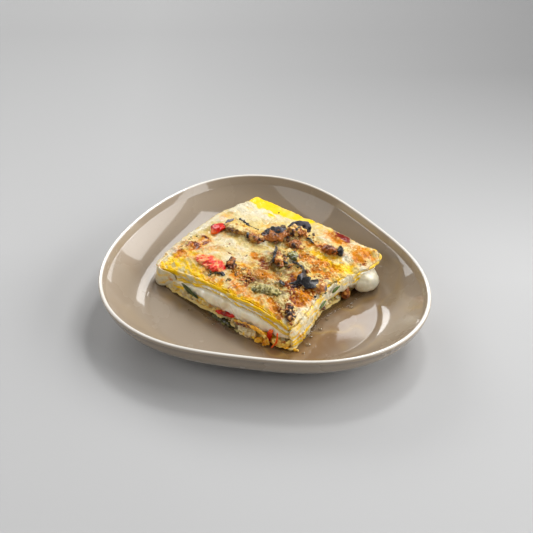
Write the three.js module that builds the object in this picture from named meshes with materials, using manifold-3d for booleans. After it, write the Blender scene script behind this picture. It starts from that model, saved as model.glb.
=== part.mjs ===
// A slice of vegetable lasagne on its stoneware plate, as a group of closed meshes.
//
// Units are millimetres and +Z is up. The origin is at the middle of the plate's outline, on the
// surface that the plate stands on. +Y points away from the diner and +X to the diner's right.
//
// The plate is a rounded triangle seen from above. The slice lies turned on it, and is described
// in its own frame: u runs along its long cut side and v along its short one, both from its middle.
// Its layers are a stack. Each has a thickness that changes over the slice and a reach that says
// how far its edge stands out from the slice's outline on each of the four sides.

import * as THREE from "three";
import { mergeVertices } from "three/addons/utils/BufferGeometryUtils.js";
import Module from "manifold-3d";

const wasm = await Module();
wasm.setup();

// ---------------------------------------------------------------- driving dimensions

const CLEARANCE = 0.4; // between pieces that touch

const PLATE = {
  meanRadius: 114.6,
  ovalShare: 7.2,
  ovalTurn: -33.3,
  triangleShare: 8.3,
  triangleTurn: -31.8,
  height: 34,
  rimRadius: 1.7,
  wall: 4.2,
  floorTop: 6.2,
  floorDish: 0.7,
  floorShare: 0.7, // how much of the way to the rim is floor
  wallCurve: 1.7, // 1 would be a straight wall
  footShare: 0.5,
  footWidth: 5,
  footDepth: 2.4,
  segments: 56,
};

const SLICE = {
  centre: [2.6, 10.7],
  turn: -40,
  halfLength: 62,
  halfWidth: 54.5,
  squareness: 18, // 2 would be an ellipse
  segments: 60,
};

// How far each cut side stands out from a plain rectangle, at seven stations along it, at the
// plate and at the crust. Stations run with u on the front-left and back-right sides, and with v
// on the other two. The slice has slumped, so that it is wider at the foot of its front-left side.
const AT_PLATE = {
  frontLeft: [1.5, 2.6, 4.4, 3.2, 4.8, 2.4, -2.5],
  frontRight: [3, 1.5, -3.7, -5, -4.5, -3.5, -3],
  backLeft: [1, 4, 3, 3, 1.5, -2, -5],
  backRight: [-2, 0.5, 2.5, 3, 2.2, 0.5, -2],
};
const AT_CRUST = {
  frontLeft: [2, -2.6, -1.6, -0.8, -0.6, -3.2, -4.2],
  frontRight: [2.2, 1.6, -1.6, -5.2, -2.8, 3.6, 6],
  backLeft: [3.6, 5.4, 4, 3.3, 2, -2.6, -6.5],
  backRight: [-2.5, 0.5, 2.8, 4, 3, 1, 1.5],
};

const PASTA = 1.5;
const LOWER_FILLING = 6.6;
const SAUCE = 3.4;
const UPPER_FILLING = 3.0;
const CRUST = 2.6;

// The two corners where the slice is thinnest, in its own frame.
const LEFT = [-62, -54];
const FRONT = [64, -51];

// ---------------------------------------------------------------- small helpers

const radians = (degrees) => (degrees * Math.PI) / 180;
const bell = (x, middle, width) => Math.exp(-(((x - middle) / width) ** 2));
const near = ([u, v], [cu, cv], width) => bell(Math.hypot(u - cu, v - cv), 0, width);
const between = (x, low, high) => {
  const t = THREE.MathUtils.clamp((x - low) / (high - low), 0, 1);
  return t * t * (3 - 2 * t);
};
const mix = (a, b, share) => a + (b - a) * share;

// A closed mesh from a list of rings of points. The first and the last ring are closed by a fan.
// Faces are split along the same diagonal on the way out as on the way in, so that two surfaces
// which follow one another stay apart.
function meshOfRings(rings) {
  const count = rings[0].length;
  const points = rings.flat();
  const span = (ring) => ring[0].distanceTo(ring[count / 2]);
  const faces = [];
  for (let r = 0; r + 1 < rings.length; r++) {
    const outward = span(rings[r + 1]) >= span(rings[r]);
    for (let i = 0; i < count; i++) {
      const a = r * count + i;
      const b = r * count + ((i + 1) % count);
      const [c, d] = [b + count, a + count];
      if (outward) faces.push([a, b, c], [a, c, d]);
      else faces.push([a, b, d], [b, c, d]);
    }
  }
  for (const [ring, turned] of [[0, true], [rings.length - 1, false]]) {
    const middle = new THREE.Vector3();
    rings[ring].forEach((p) => middle.addScaledVector(p, 1 / count));
    const hub = points.push(middle) - 1;
    for (let i = 0; i < count; i++) {
      const a = ring * count + i;
      const b = ring * count + ((i + 1) % count);
      faces.push(turned ? [hub, b, a] : [hub, a, b]);
    }
  }
  return solidOf(points, faces);
}

// A manifold solid with its faces pointing out, from points and triangles.
function solidOf(points, faces) {
  let volume = 0;
  const cross = new THREE.Vector3();
  for (const [a, b, c] of faces) {
    volume += points[a].dot(cross.crossVectors(points[b], points[c]));
  }
  const ordered = volume > 0 ? faces : faces.map(([a, b, c]) => [a, c, b]);
  return new wasm.Manifold(
    new wasm.Mesh({
      numProp: 3,
      vertProperties: new Float32Array(points.flatMap((p) => p.toArray())),
      triVerts: new Uint32Array(ordered.flat()),
    }),
  );
}

// The one large body of a solid, without crumbs left by a cut.
function largest(solid) {
  const bodies = solid.decompose();
  return bodies.reduce((best, body) => (body.volume() > best.volume() ? body : best));
}

function geometryOf(solid) {
  const mesh = solid.getMesh();
  const geometry = new THREE.BufferGeometry();
  geometry.setAttribute("position", new THREE.BufferAttribute(mesh.vertProperties, 3));
  geometry.setIndex(new THREE.BufferAttribute(mesh.triVerts, 1));
  geometry.computeVertexNormals();
  return geometry;
}

const group = new THREE.Group();

function add(name, solid, material) {
  const mesh = new THREE.Mesh(geometryOf(solid), material);
  mesh.name = name;
  group.add(mesh);
}

// ---------------------------------------------------------------- materials

const finish = (color, roughness) =>
  new THREE.MeshStandardMaterial({ color, roughness, metalness: 0 });

const MATERIALS = {
  glaze: finish(0xb0a08c, 0.12),
  pasta: finish(0xf0d060, 0.4),
  filling: finish(0xcfb878, 0.5),
  sauce: finish(0xf2ead2, 0.35),
  crust: finish(0xecd08c, 0.45),
  tomato: finish(0xd8452a, 0.3),
  pepper: finish(0xc8240f, 0.25),
  aubergineFlesh: finish(0x8a5a2c, 0.5),
  aubergineSkin: finish(0x24202a, 0.3),
  courgette: finish(0x8f9a5c, 0.45),
  olive: finish(0x4a5030, 0.4),
  mushroom: finish(0x6a3f1c, 0.5),
  leaf: finish(0x24401c, 0.4),
};

// ---------------------------------------------------------------- plate

// Distance from the plate's turning point to its rim, in a direction.
function plateRadius(angle) {
  const oval = PLATE.ovalShare * Math.cos(2 * (angle - radians(PLATE.ovalTurn)));
  const triangle = PLATE.triangleShare * Math.cos(3 * (angle - radians(PLATE.triangleTurn)));
  return PLATE.meanRadius + oval + triangle;
}

// The turning point, placed so that the outline's box is centred on the origin.
const plateCentre = (() => {
  const box = new THREE.Box2();
  for (let degree = 0; degree < 360; degree += 0.25) {
    const angle = radians(degree);
    const r = plateRadius(angle);
    box.expandByPoint(new THREE.Vector2(r * Math.cos(angle), r * Math.sin(angle)));
  }
  return box.getCenter(new THREE.Vector2()).negate();
})();

// Height of the plate's upper surface at a share of the way from the turning point to the rim.
function innerHeight(share) {
  const rise = PLATE.height - PLATE.rimRadius - PLATE.floorTop - PLATE.floorDish;
  const floor = PLATE.floorTop + PLATE.floorDish * Math.min(share / PLATE.floorShare, 1) ** 2;
  const up = Math.max(share - PLATE.floorShare, 0) / (1 - PLATE.floorShare);
  return floor + rise * up ** PLATE.wallCurve;
}

function plateSurface(x, y) {
  const dx = x - plateCentre.x;
  const dy = y - plateCentre.y;
  return innerHeight(Math.hypot(dx, dy) / plateRadius(Math.atan2(dy, dx)));
}

// One ring round the plate, at a share of its radius plus a distance in millimetres.
function plateRing(share, extra, z) {
  return Array.from({ length: PLATE.segments }, (_, i) => {
    const angle = (2 * Math.PI * i) / PLATE.segments;
    const r = share * plateRadius(angle) + extra;
    return new THREE.Vector3(
      plateCentre.x + r * Math.cos(angle),
      plateCentre.y + r * Math.sin(angle),
      z,
    );
  });
}

function plate() {
  const { height, rimRadius, wall, footShare, footWidth, footDepth, floorShare } = PLATE;
  const rings = [];
  // Underside: the recess inside the foot, the foot, and the outside of the wall.
  rings.push(plateRing(0.25, 0, footDepth), plateRing(footShare, -footWidth - 1.5, footDepth));
  rings.push(plateRing(footShare, -footWidth, 0), plateRing(footShare, 0, 0));
  rings.push(plateRing(footShare, 2, footDepth - 0.4));
  const outerShares = [0.68, 0.78, 0.86, 0.94];
  outerShares.forEach((share) => {
    rings.push(plateRing(share, 0.35 * wall, innerHeight(share) - wall));
  });
  // The rim is a half round.
  for (const degrees of [-60, -15, 35, 85, 140]) {
    const out = rimRadius * (Math.cos(radians(degrees)) - 1);
    rings.push(plateRing(1, out, height - rimRadius + rimRadius * Math.sin(radians(degrees))));
  }
  // The upper surface, from the rim in to the middle.
  const innerShares = [0.94, 0.89, 0.84, 0.79, 0.75, floorShare, 0.62];
  innerShares.forEach((share) => rings.push(plateRing(share, -0.4, innerHeight(share))));
  rings.push(plateRing(0.35, 0, innerHeight(0.35)));
  return meshOfRings(rings);
}

// ---------------------------------------------------------------- the slice's frame

const sliceTurn = radians(SLICE.turn);

function toPlate(u, v, z) {
  const c = Math.cos(sliceTurn);
  const s = Math.sin(sliceTurn);
  return new THREE.Vector3(SLICE.centre[0] + u * c - v * s, SLICE.centre[1] + u * s + v * c, z);
}

// Point i of the slice's plain outline, as shares of the half length and half width, and how much
// it belongs to the sides that face along u and to the sides that face along v.
function outlinePoint(i) {
  const angle = (2 * Math.PI * (i + 0.5)) / SLICE.segments;
  const n = SLICE.squareness;
  const size = (Math.abs(Math.cos(angle)) ** n + Math.abs(Math.sin(angle)) ** n) ** (1 / n);
  const s = Math.cos(angle) / size;
  const t = Math.sin(angle) / size;
  return { s, t, facesU: Math.abs(s) ** n, facesV: Math.abs(t) ** n };
}

const OUTLINE = Array.from({ length: SLICE.segments }, (_, i) => outlinePoint(i));

// The value at q, from -1 to 1, of a smooth line through evenly spaced stations.
function along(stations, q) {
  const last = stations.length - 1;
  const x = (THREE.MathUtils.clamp(q, -1, 1) + 1) * 0.5 * last;
  const k = Math.min(Math.floor(x), last - 1);
  const [a, b, c, d] = [-1, 0, 1, 2].map((step) => stations[Math.min(Math.max(k + step, 0), last)]);
  const f = x - k;
  return b + 0.5 * f * (c - a + f * (2 * a - 5 * b + 4 * c - d + f * (3 * (b - c) + d - a)));
}

// The edge of one layer, as the share of the way from the slice's middle to the plain outline.
// Level is 0 at the plate and 1 at the crust. Reach stands the layer out from there, wave gives
// its edge small ups and downs, and extra moves all of it out.
function edgeShares({ level, reach, wave, phase }, extra = 0) {
  const out = (side, q) => {
    const shape = mix(along(AT_PLATE[side], q), along(AT_CRUST[side], q), level);
    return shape + (reach[side]?.(q) ?? 0);
  };
  return OUTLINE.map(({ s, t, facesU, facesV }, i) => {
    const outU = out(s > 0 ? "frontRight" : "backLeft", t);
    const outV = out(t > 0 ? "backRight" : "frontLeft", s);
    const ripple = wave * (Math.sin(i * 1.9 + phase) + 0.7 * Math.sin(i * 3.1 + 2 * phase)) + extra;
    const alongU = (facesU * (outU + ripple)) / SLICE.halfLength;
    const alongV = (facesV * (outV + ripple)) / SLICE.halfWidth;
    return 1 + alongU + alongV;
  });
}

// Inside the knee a surface follows its height function. Outside it runs straight out, so that
// layers of different reach still lie flat on each other.
const KNEE = 0.76;

function ring(shares, height) {
  return OUTLINE.map(({ s, t }, i) => {
    const share = shares[i] ?? shares;
    const at = (q) => height(q * s * SLICE.halfLength, q * t * SLICE.halfWidth);
    const straight = () => mix(at(KNEE), at(1), (share - KNEE) / (1 - KNEE));
    const z = share > KNEE ? straight() : at(share);
    return toPlate(share * s * SLICE.halfLength, share * t * SLICE.halfWidth, z);
  });
}

// ---------------------------------------------------------------- layers

// Where the stack is thinner or thicker: all round the rim of the slice, at its two low corners,
// along its front-right side, and where sauce has swollen out of the front-left side.
const rim = (u, v) => {
  const share = Math.max(Math.abs(u) / SLICE.halfLength, Math.abs(v) / SLICE.halfWidth);
  return between(share, 0.66, 1);
};
const atLeft = (u, v) => near([u, v], LEFT, 36);
const atFront = (u, v) => near([u, v], FRONT, 26);
const atFrontRight = (u) => between(u, 34, 60);
const swelling = (u, v) =>
  bell(v, -SLICE.halfWidth, 22) * between(u, -45, 0) * (1 - between(u, 30, 66));

// Listed from the plate upwards.
const LAYERS = [
  {
    name: "pasta_sheet_base",
    material: MATERIALS.pasta,
    thickness: () => PASTA,
    level: 0,
    reach: { frontRight: (t) => 0.6 + 4 * bell(t, -0.86, 0.09) },
    wave: 0.45,
    phase: 0.3,
  },
  {
    name: "vegetable_filling_lower",
    material: MATERIALS.filling,
    thickness: (u, v) =>
      LOWER_FILLING - 4.6 * atLeft(u, v) - 2 * atFront(u, v) - 1.3 * atFrontRight(u) - swelling(u, v),
    level: 0.15,
    reach: {
      frontLeft: (s) => -1 - 2 * bell(s, 0.72, 0.16),
      frontRight: () => -1,
      backLeft: () => -1,
      backRight: () => -1,
    },
    wave: 0.7,
    phase: 1.1,
    bulge: 1,
  },
  {
    name: "pasta_sheet_lower",
    material: MATERIALS.pasta,
    thickness: () => PASTA,
    level: 0.35,
    reach: { frontRight: (t) => 0.3 + 1.5 * bell(t, -1, 0.2) },
    wave: 0.45,
    phase: 2.2,
  },
  {
    name: "white_sauce_layer",
    material: MATERIALS.sauce,
    thickness: (u, v) => SAUCE + 5.4 * swelling(u, v) - 2 * atLeft(u, v) - 0.4 * atFront(u, v),
    level: 0.55,
    reach: { frontLeft: (s) => 0.8 * bell(s, 0, 0.6), frontRight: () => -0.8 },
    wave: 0.45,
    phase: 3.4,
    bulge: 1.2,
  },
  {
    name: "pasta_sheet_middle",
    material: MATERIALS.pasta,
    thickness: () => PASTA,
    level: 0.8,
    reach: { frontLeft: () => 0.5, frontRight: () => -0.2, backRight: () => 0.3 },
    wave: 0.45,
    phase: 4.1,
  },
  {
    name: "vegetable_filling_upper",
    material: MATERIALS.filling,
    thickness: (u, v) => UPPER_FILLING - 1.5 * rim(u, v) - 0.5 * atLeft(u, v) - 0.5 * swelling(u, v),
    level: 0.9,
    reach: {
      frontLeft: () => -0.5,
      frontRight: () => -0.8,
      backLeft: () => -0.6,
      backRight: () => -0.4,
    },
    wave: 0.5,
    phase: 5.3,
    bulge: 0.5,
  },
  {
    name: "pasta_sheet_top",
    material: MATERIALS.pasta,
    thickness: () => PASTA,
    level: 1,
    reach: { frontLeft: () => 0.5, frontRight: () => -0.2, backRight: () => 0.6 },
    wave: 0.45,
    phase: 6.6,
  },
  {
    name: "gratin_crust",
    material: MATERIALS.crust,
    // Low ridges and blisters in the browned cheese.
    thickness: (u, v) =>
      CRUST -
      0.9 * rim(u, v) +
      0.45 * Math.sin(u * 0.21 + 1) * Math.sin(v * 0.24) +
      0.3 * Math.sin(u * 0.4 - v * 0.3) +
      0.9 * bell(v, -30, 6) * bell(u, 2, 14) +
      1 * near([u, v], [54, -6], 9),
    level: 1,
    reach: {
      frontLeft: () => -0.6,
      frontRight: () => -0.8,
      backLeft: () => 0.2,
      backRight: (s) => -0.6 - 6.5 * between(s, 0.04, -0.12),
    },
    wave: 0.4,
    phase: 7.7,
    crags: true,
  },
];

// Height of the underside of layer k. The stack follows the plate, with a clearance under each
// layer, and its rim keeps clear of the foot of the plate's wall.
function layerBase(k, u, v) {
  const place = toPlate(u, v, 0);
  let z = plateSurface(place.x, place.y) + 0.5 + 0.5 * rim(u, v);
  for (let i = 0; i < k; i++) {
    z += LAYERS[i].thickness(u, v) + CLEARANCE;
  }
  return z;
}

const layerTop = (k, u, v) => layerBase(k, u, v) + LAYERS[k].thickness(u, v);
const TOP = LAYERS.length - 1;
const CRAG_SHARES = [0.66, 0.54, 0.42, 0.3, 0.16]; // rings of the crust's upper surface

function layerSolid(k) {
  const layer = LAYERS[k];
  const edge = edgeShares(layer);
  const under = (u, v) => layerBase(k, u, v);
  const over = (u, v) => layerTop(k, u, v);
  const rings = [KNEE, edge].map((shares) => ring(shares, under));
  if (layer.bulge) {
    rings.push(ring(edgeShares(layer, layer.bulge), (u, v) => mix(under(u, v), over(u, v), 0.5)));
  }
  const inside = layer.crags ? CRAG_SHARES : [];
  [edge, KNEE, ...inside].forEach((shares) => rings.push(ring(shares, over)));
  return meshOfRings(rings);
}

// ---------------------------------------------------------------- vegetable pieces

// A lump is a ball that is stretched, dented by a few waves and turned. Grow makes it larger all
// round, to cut the pocket that it sits in.
function lump({ at, size, turn = 0, tilt = 0, seed, rough = 0.12, detail = 1 }, grow = 0) {
  const ball = new THREE.IcosahedronGeometry(1, detail);
  ["normal", "uv"].forEach((name) => ball.deleteAttribute(name));
  const geometry = mergeVertices(ball);
  const position = geometry.getAttribute("position");
  const rotation = new THREE.Euler(0, radians(tilt), radians(turn) + sliceTurn, "ZYX");
  const middle = toPlate(at[0], at[1], at[2]);
  const points = [];
  for (let i = 0; i < position.count; i++) {
    const p = new THREE.Vector3().fromBufferAttribute(position, i);
    const dent =
      1 +
      rough * Math.sin(3.1 * p.x + seed) * Math.cos(2.7 * p.y - seed) +
      0.6 * rough * Math.sin(6.3 * p.y + 5.1 * p.z + 2 * seed);
    p.multiplyScalar(dent);
    p.set(...["x", "y", "z"].map((axis, j) => p[axis] * (size[j] / 2 + grow)));
    points.push(p.applyEuler(rotation).add(middle));
  }
  const index = geometry.index.array;
  const faces = Array.from({ length: index.length / 3 }, (_, i) => [
    index[3 * i],
    index[3 * i + 1],
    index[3 * i + 2],
  ]);
  return solidOf(points, faces);
}

// A skin or a leaf: a thin wavy plate, pointed at both ends, with both faces split alike.
function leaf({ at, size, turn = 0, tilt = 0, roll = 0, seed, curl = 1.2, thick = 0.9 }, grow = 0) {
  const along = 8;
  const across = 4;
  const rotation = new THREE.Euler(radians(roll), radians(tilt), radians(turn) + sliceTurn, "ZYX");
  const middle = toPlate(at[0], at[1], at[2]);
  const points = [];
  for (const side of [-1, 1]) {
    for (let i = 0; i <= along; i++) {
      for (let j = 0; j <= across; j++) {
        const a = (2 * i) / along - 1;
        const b = (2 * j) / across - 1;
        const width = 0.18 + 0.82 * Math.sqrt(1 - Math.min(a * a, 1));
        const lift = curl * (Math.sin(2.6 * a + seed) + 0.8 * b * Math.cos(3.2 * a + seed));
        const p = new THREE.Vector3(
          a * (size[0] / 2 + grow),
          b * width * (size[1] / 2 + grow),
          lift + side * (thick / 2 + grow),
        );
        points.push(p.applyEuler(rotation).add(middle));
      }
    }
  }
  const row = across + 1;
  const sheet = (along + 1) * row;
  const faces = [];
  for (let i = 0; i < along; i++) {
    for (let j = 0; j < across; j++) {
      const a = i * row + j;
      faces.push([a, a + 1, a + row + 1], [a, a + row + 1, a + row]);
      const b = a + sheet;
      faces.push([b, b + row + 1, b + 1], [b, b + row, b + row + 1]);
    }
  }
  const border = [];
  for (let j = 0; j < across; j++) border.push(j);
  for (let i = 0; i < along; i++) border.push(i * row + across);
  for (let j = across; j > 0; j--) border.push(along * row + j);
  for (let i = along; i > 0; i--) border.push(i * row);
  border.forEach((a, i) => {
    const b = border[(i + 1) % border.length];
    faces.push([a, a + sheet, b + sheet], [a, b + sheet, b]);
  });
  return solidOf(points, faces);
}

// On the crust: place in u and v, rise of the middle above the crust, size and turn.
const TOPPINGS = [
  { name: "tomato_piece", material: "tomato", uv: [-22, -37], rise: 0.3, size: [28, 12, 5], turn: 8, seed: 1 },
  { name: "red_pepper_piece", material: "pepper", uv: [-49, 0], rise: 0.7, size: [14, 8, 4.5], turn: 75, seed: 2 },
  { name: "aubergine_slice", material: "aubergineFlesh", uv: [-35, 11], rise: 0.8, size: [29, 12, 6], turn: 6, seed: 3, detail: 2 },
  { name: "aubergine_end", material: "aubergineFlesh", uv: [-18, 8.5], rise: 0.8, size: [12, 6, 5], turn: 5, seed: 4 },
  { name: "aubergine_wedge", material: "aubergineFlesh", uv: [-11, 22], rise: 1.2, size: [21, 10, 7], turn: 48, seed: 5 },
  { name: "aubergine_curl", material: "aubergineFlesh", uv: [5, 32], rise: 2.4, size: [22, 13, 11], turn: 62, seed: 6, rough: 0.2, detail: 2 },
  { name: "charred_aubergine_centre", material: "aubergineFlesh", uv: [10, 1], rise: 1.4, size: [14, 8, 8], turn: 15, seed: 7, rough: 0.2 },
  { name: "green_olive_piece", material: "olive", uv: [17.5, 10.5], rise: 1.4, size: [9, 8, 6], turn: 0, seed: 8 },
  { name: "aubergine_pocket", material: "aubergineFlesh", uv: [54, -6], rise: 0.6, size: [12, 10, 5], turn: 20, seed: 9 },
  { name: "courgette_piece", material: "courgette", uv: [28, -34.5], rise: 0.6, size: [25, 9, 5], turn: 22, seed: 10, rough: 0.16 },
  { name: "charred_front_piece", material: "aubergineSkin", uv: [56, -42.5], rise: 1.2, size: [14, 7, 8], turn: -48, seed: 11, rough: 0.2 },
  { name: "charred_cube", material: "mushroom", uv: [-11.6, -27.6], rise: 1.2, size: [8, 7, 7], turn: 30, seed: 12 },
  { name: "mushroom_cap_piece", material: "mushroom", uv: [35.5, 34], rise: 0.9, size: [15, 7, 6], turn: 42, seed: 13 },
  { name: "aubergine_skin", material: "aubergineSkin", leaf: true, uv: [38.5, -7.5], rise: 2.4, size: [21, 12], turn: -62, seed: 0.4, curl: 0.9 },
];

// In and against the cut sides: place in u, v and z. Each sits in a pocket cut in its layers.
const SIDE_PIECES = [
  { name: "spinach_leaf_side", material: "leaf", leaf: true, at: [-26, -56.6, 18.6], size: [15, 8], turn: -4, roll: 78, seed: 0.8, curl: 0.5 },
  { name: "red_pepper_side", material: "pepper", at: [6, -57, 12.2], size: [14, 7, 4.2], turn: 0, seed: 3.3 },
  { name: "mushroom_slice_side", material: "mushroom", at: [24.5, -56.4, 13.2], size: [12, 8, 3.2], turn: 4, seed: 5.1 },
  { name: "courgette_cube_side", material: "courgette", at: [27, -57.5, 10], size: [15, 8, 5.2], turn: -6, seed: 6.2 },
  { name: "red_pepper_front", material: "pepper", at: [49, -55.2, 14], size: [3.2, 5, 12], turn: 0, tilt: -8, seed: 7.4 },
  { name: "mushroom_stem_right", material: "mushroom", at: [58, 20, 12.5], size: [7, 5.5, 10], turn: 0, tilt: 24, seed: 8.6 },
  // Thick white sauce that has run out under the right-hand and left-hand corners.
  { name: "white_sauce_drop", material: "sauce", at: [64.5, 38.5, 15.6], size: [17, 21, 17], turn: 12, seed: 2.2, rough: 0.04, detail: 2 },
  { name: "white_sauce_fold", material: "sauce", at: [-59, -56.5, 13.6], size: [13, 12, 14], turn: 30, seed: 4.4, rough: 0.1, detail: 2 },
];

// Everything from the crust's upper surface, raised by a clearance, down to the table.
function belowCrust() {
  const edge = edgeShares(LAYERS[TOP]);
  const raised = (u, v) => layerTop(TOP, u, v) + CLEARANCE;
  const rings = [ring(edge, () => 0)];
  [edge, KNEE, ...CRAG_SHARES].forEach((shares) => rings.push(ring(shares, raised)));
  return meshOfRings(rings);
}

// ---------------------------------------------------------------- assembly

// Adds pieces that keep clear of one another. Each is cut by what it rests on and by those before
// it, and make(piece, grow) shapes it.
function addPieces(pieces, make, support) {
  const placed = [];
  for (const piece of pieces) {
    const rested = make(piece, 0).subtract(support);
    const clear = placed.reduce((solid, other) => solid.subtract(other), rested);
    add(piece.name, largest(clear), MATERIALS[piece.material]);
    placed.push(make(piece, CLEARANCE));
  }
}

const plateSolid = plate();
add("plate", plateSolid, MATERIALS.glaze);

const sidePiece = (piece, grow) => (piece.leaf ? leaf : lump)(piece, grow);
const pockets = SIDE_PIECES.map((piece) => sidePiece(piece, CLEARANCE));
LAYERS.forEach((layer, k) => {
  const cut = pockets.reduce((solid, pocket) => solid.subtract(pocket), layerSolid(k));
  add(layer.name, largest(cut), layer.material);
});
addPieces(SIDE_PIECES, sidePiece, plateSolid.translate([0, 0, CLEARANCE]));

const topPiece = (piece, grow) => {
  const [u, v] = piece.uv;
  const at = [u, v, layerTop(TOP, u, v) + piece.rise];
  return (piece.leaf ? leaf : lump)({ ...piece, at }, grow);
};
addPieces(TOPPINGS, topPiece, belowCrust());

export default group;
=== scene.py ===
# %% [markdown]
# # Vegetable lasagne on a rounded plate
#
# A slice of baked lasagne is a stack: pasta, vegetables, white sauce, and a crust of cheese that
# browned in patches. What makes it look real is that nothing in it is level, so every layer here
# is a mesh whose thickness and edge follow a few functions of where we are on the slice. We start
# by loading the packed solids, which fix every size and place.

from itertools import product
from math import cos, pi, radians, sin

import bpy
import numpy as np
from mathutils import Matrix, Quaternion, Vector


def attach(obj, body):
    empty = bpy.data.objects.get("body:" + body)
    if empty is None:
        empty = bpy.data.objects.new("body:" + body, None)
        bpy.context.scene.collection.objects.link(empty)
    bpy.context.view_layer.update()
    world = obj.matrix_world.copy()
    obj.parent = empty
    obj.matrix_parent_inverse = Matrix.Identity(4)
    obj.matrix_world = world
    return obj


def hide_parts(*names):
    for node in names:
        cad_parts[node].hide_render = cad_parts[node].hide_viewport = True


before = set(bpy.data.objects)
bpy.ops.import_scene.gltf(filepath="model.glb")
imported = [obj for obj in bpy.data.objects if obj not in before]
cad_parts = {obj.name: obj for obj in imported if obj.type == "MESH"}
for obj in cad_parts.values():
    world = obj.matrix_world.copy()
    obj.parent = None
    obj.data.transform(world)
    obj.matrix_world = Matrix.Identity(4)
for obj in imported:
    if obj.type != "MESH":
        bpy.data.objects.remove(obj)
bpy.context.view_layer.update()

# %% [markdown]
# ## The camera
#
# The plate is seen from 38 degrees above the table by a long lens, so that its far rim is hardly
# smaller than its near one. Lengths are in millimetres all through this file, and become Blender's
# metres only where a mesh is made or the camera is placed. The lights alone are given in metres.

# %% Place the camera
MM = 0.001
CAMERA_HEIGHT = radians(38)
CAMERA_DISTANCE = 978.2
CAMERA_LENS = 85
CAMERA_SENSOR = 36
CAMERA_REACH = 20
CAMERA_TARGET = Vector((2.16, 34.63, 0))

scene = bpy.context.scene
camera = bpy.data.objects.new("camera", bpy.data.cameras.new("camera"))
scene.collection.objects.link(camera)
scene.camera = camera
camera.data.lens = CAMERA_LENS
camera.data.sensor_width = CAMERA_SENSOR
camera.data.clip_end = CAMERA_REACH
away = Vector((0, -cos(CAMERA_HEIGHT), sin(CAMERA_HEIGHT)))
camera.location = (CAMERA_TARGET + CAMERA_DISTANCE * away) * MM
camera.rotation_euler = away.to_track_quat("Z", "Y").to_euler()
print("camera at", camera.location)

# %% [markdown]
# ## Two kinds of helper
#
# The first kind works on whole arrays of points with numpy: soft steps, soft bumps and noise. Noise
# is what keeps a surface from looking drawn by a machine. Ours gives each corner of a grid a random
# slope and blends between corners, and adds finer copies of itself on request.

# %% Helpers for arrays
DICE = np.random.default_rng(11)
SHUFFLE = DICE.permutation(256)
SLOPES = DICE.normal(size=(256, 3))
SLOPES /= np.linalg.norm(SLOPES, axis=1)[:, None]
NOISE_GAIN = 1.6
OCTAVE_SCALE, OCTAVE_SHIFT, SEED_SHIFT = 2.03, 5.1, 13.7
FLAT_LEVEL = 3.3


def mix(a, b, share):
    return a + (b - a) * share


def step(x, low, high):
    """0 below low, 1 above high, and smooth between."""
    share = np.clip((x - low) / (high - low), 0, 1)
    return share * share * (3 - 2 * share)


def bell(x, middle, width):
    return np.exp(-(((x - middle) / width) ** 2))


def noise(points, size, octaves=1, seed=0):
    """Smooth noise from about -1 to 1 at each row of points, in bumps of about size."""
    total = np.zeros(len(points))
    place = points / size + SEED_SHIFT * seed
    for octave in range(octaves):
        cell = np.floor(place).astype(int)
        inside = place - cell
        weight = inside**3 * (inside * (inside * 6 - 15) + 10)
        for corner in product((0, 1), repeat=3):
            x, y, z = ((cell + corner) & 255).T
            slope = SLOPES[SHUFFLE[(SHUFFLE[(SHUFFLE[x] + y) & 255] + z) & 255]]
            near = np.where(corner, weight, 1 - weight).prod(axis=1)
            total += NOISE_GAIN * 0.5**octave * near * ((inside - corner) * slope).sum(axis=1)
        place = place * OCTAVE_SCALE + OCTAVE_SHIFT
    return total


def crests(points, size, octaves=2, seed=0):
    """Noise with sharp crests, from 0 in the hollows to 1."""
    return 1 - np.clip(2 * np.abs(noise(points, size, octaves, seed)), 0, 1)


def flat_noise(u, v, size, octaves=1, seed=0):
    return noise(np.column_stack([u, v, np.full(len(u), FLAT_LEVEL)]), size, octaves, seed)


trial_points = DICE.uniform(0, 90, (4000, 3))
sample = noise(trial_points, 7, 3)
print("noise spans", sample.min().round(2), "to", sample.max().round(2))

# %% [markdown]
# The second kind makes meshes. A loft joins rings of points into a closed skin, which is how the
# plate and all layers are made. Each mesh can carry paint: one number at each vertex, such as how
# browned the cheese is there, which its material reads later.

# %% Helpers for meshes


def make_object(name, points, faces, paints=None):
    mesh = bpy.data.meshes.new(name)
    mesh.from_pydata((points * MM).tolist(), [], faces)
    mesh.shade_smooth()
    for paint, values in (paints or {}).items():
        layer = mesh.attributes.new(paint, "FLOAT", "POINT")
        layer.data.foreach_set("value", np.broadcast_to(values, len(points)).astype(np.float32))
    made = bpy.data.objects.new(name, mesh)
    scene.collection.objects.link(made)
    return made


def loft_faces(ring_count, count):
    """Quads between rings, and a fan to one hub point at each end."""
    ring, i = np.meshgrid(np.arange(ring_count - 1), np.arange(count), indexing="ij")
    here, beside = ring * count + i, ring * count + (i + 1) % count
    quads = np.stack([here, beside, beside + count, here + count], axis=-1).reshape(-1, 4).tolist()
    first_hub, last_hub = ring_count * count, ring_count * count + 1
    last = (ring_count - 1) * count
    for k in range(count):
        after = (k + 1) % count
        quads.append([first_hub, after, k])
        quads.append([last_hub, last + k, last + after])
    return quads


def loft(rings):
    """Points and faces of a closed skin through rings that run from its underside to its top."""
    points = np.concatenate([*rings, [rings[0].mean(axis=0)], [rings[-1].mean(axis=0)]])
    return points, loft_faces(len(rings), len(rings[0]))


def join(parts):
    """One set of points and faces from many."""
    faces, base = [], 0
    for points, part_faces in parts:
        faces += [[base + k for k in face] for face in part_faces]
        base += len(points)
    return np.concatenate([points for points, _ in parts]), faces


def finish_piece(piece, material, slot, *nodes):
    """Gives a piece its material and ties it to the frame."""
    piece.data.materials.append(material)
    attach(piece, "root")
    if nodes:
        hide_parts(*nodes)
    print(piece.name, "has", len(piece.data.vertices), "vertices")


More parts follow.
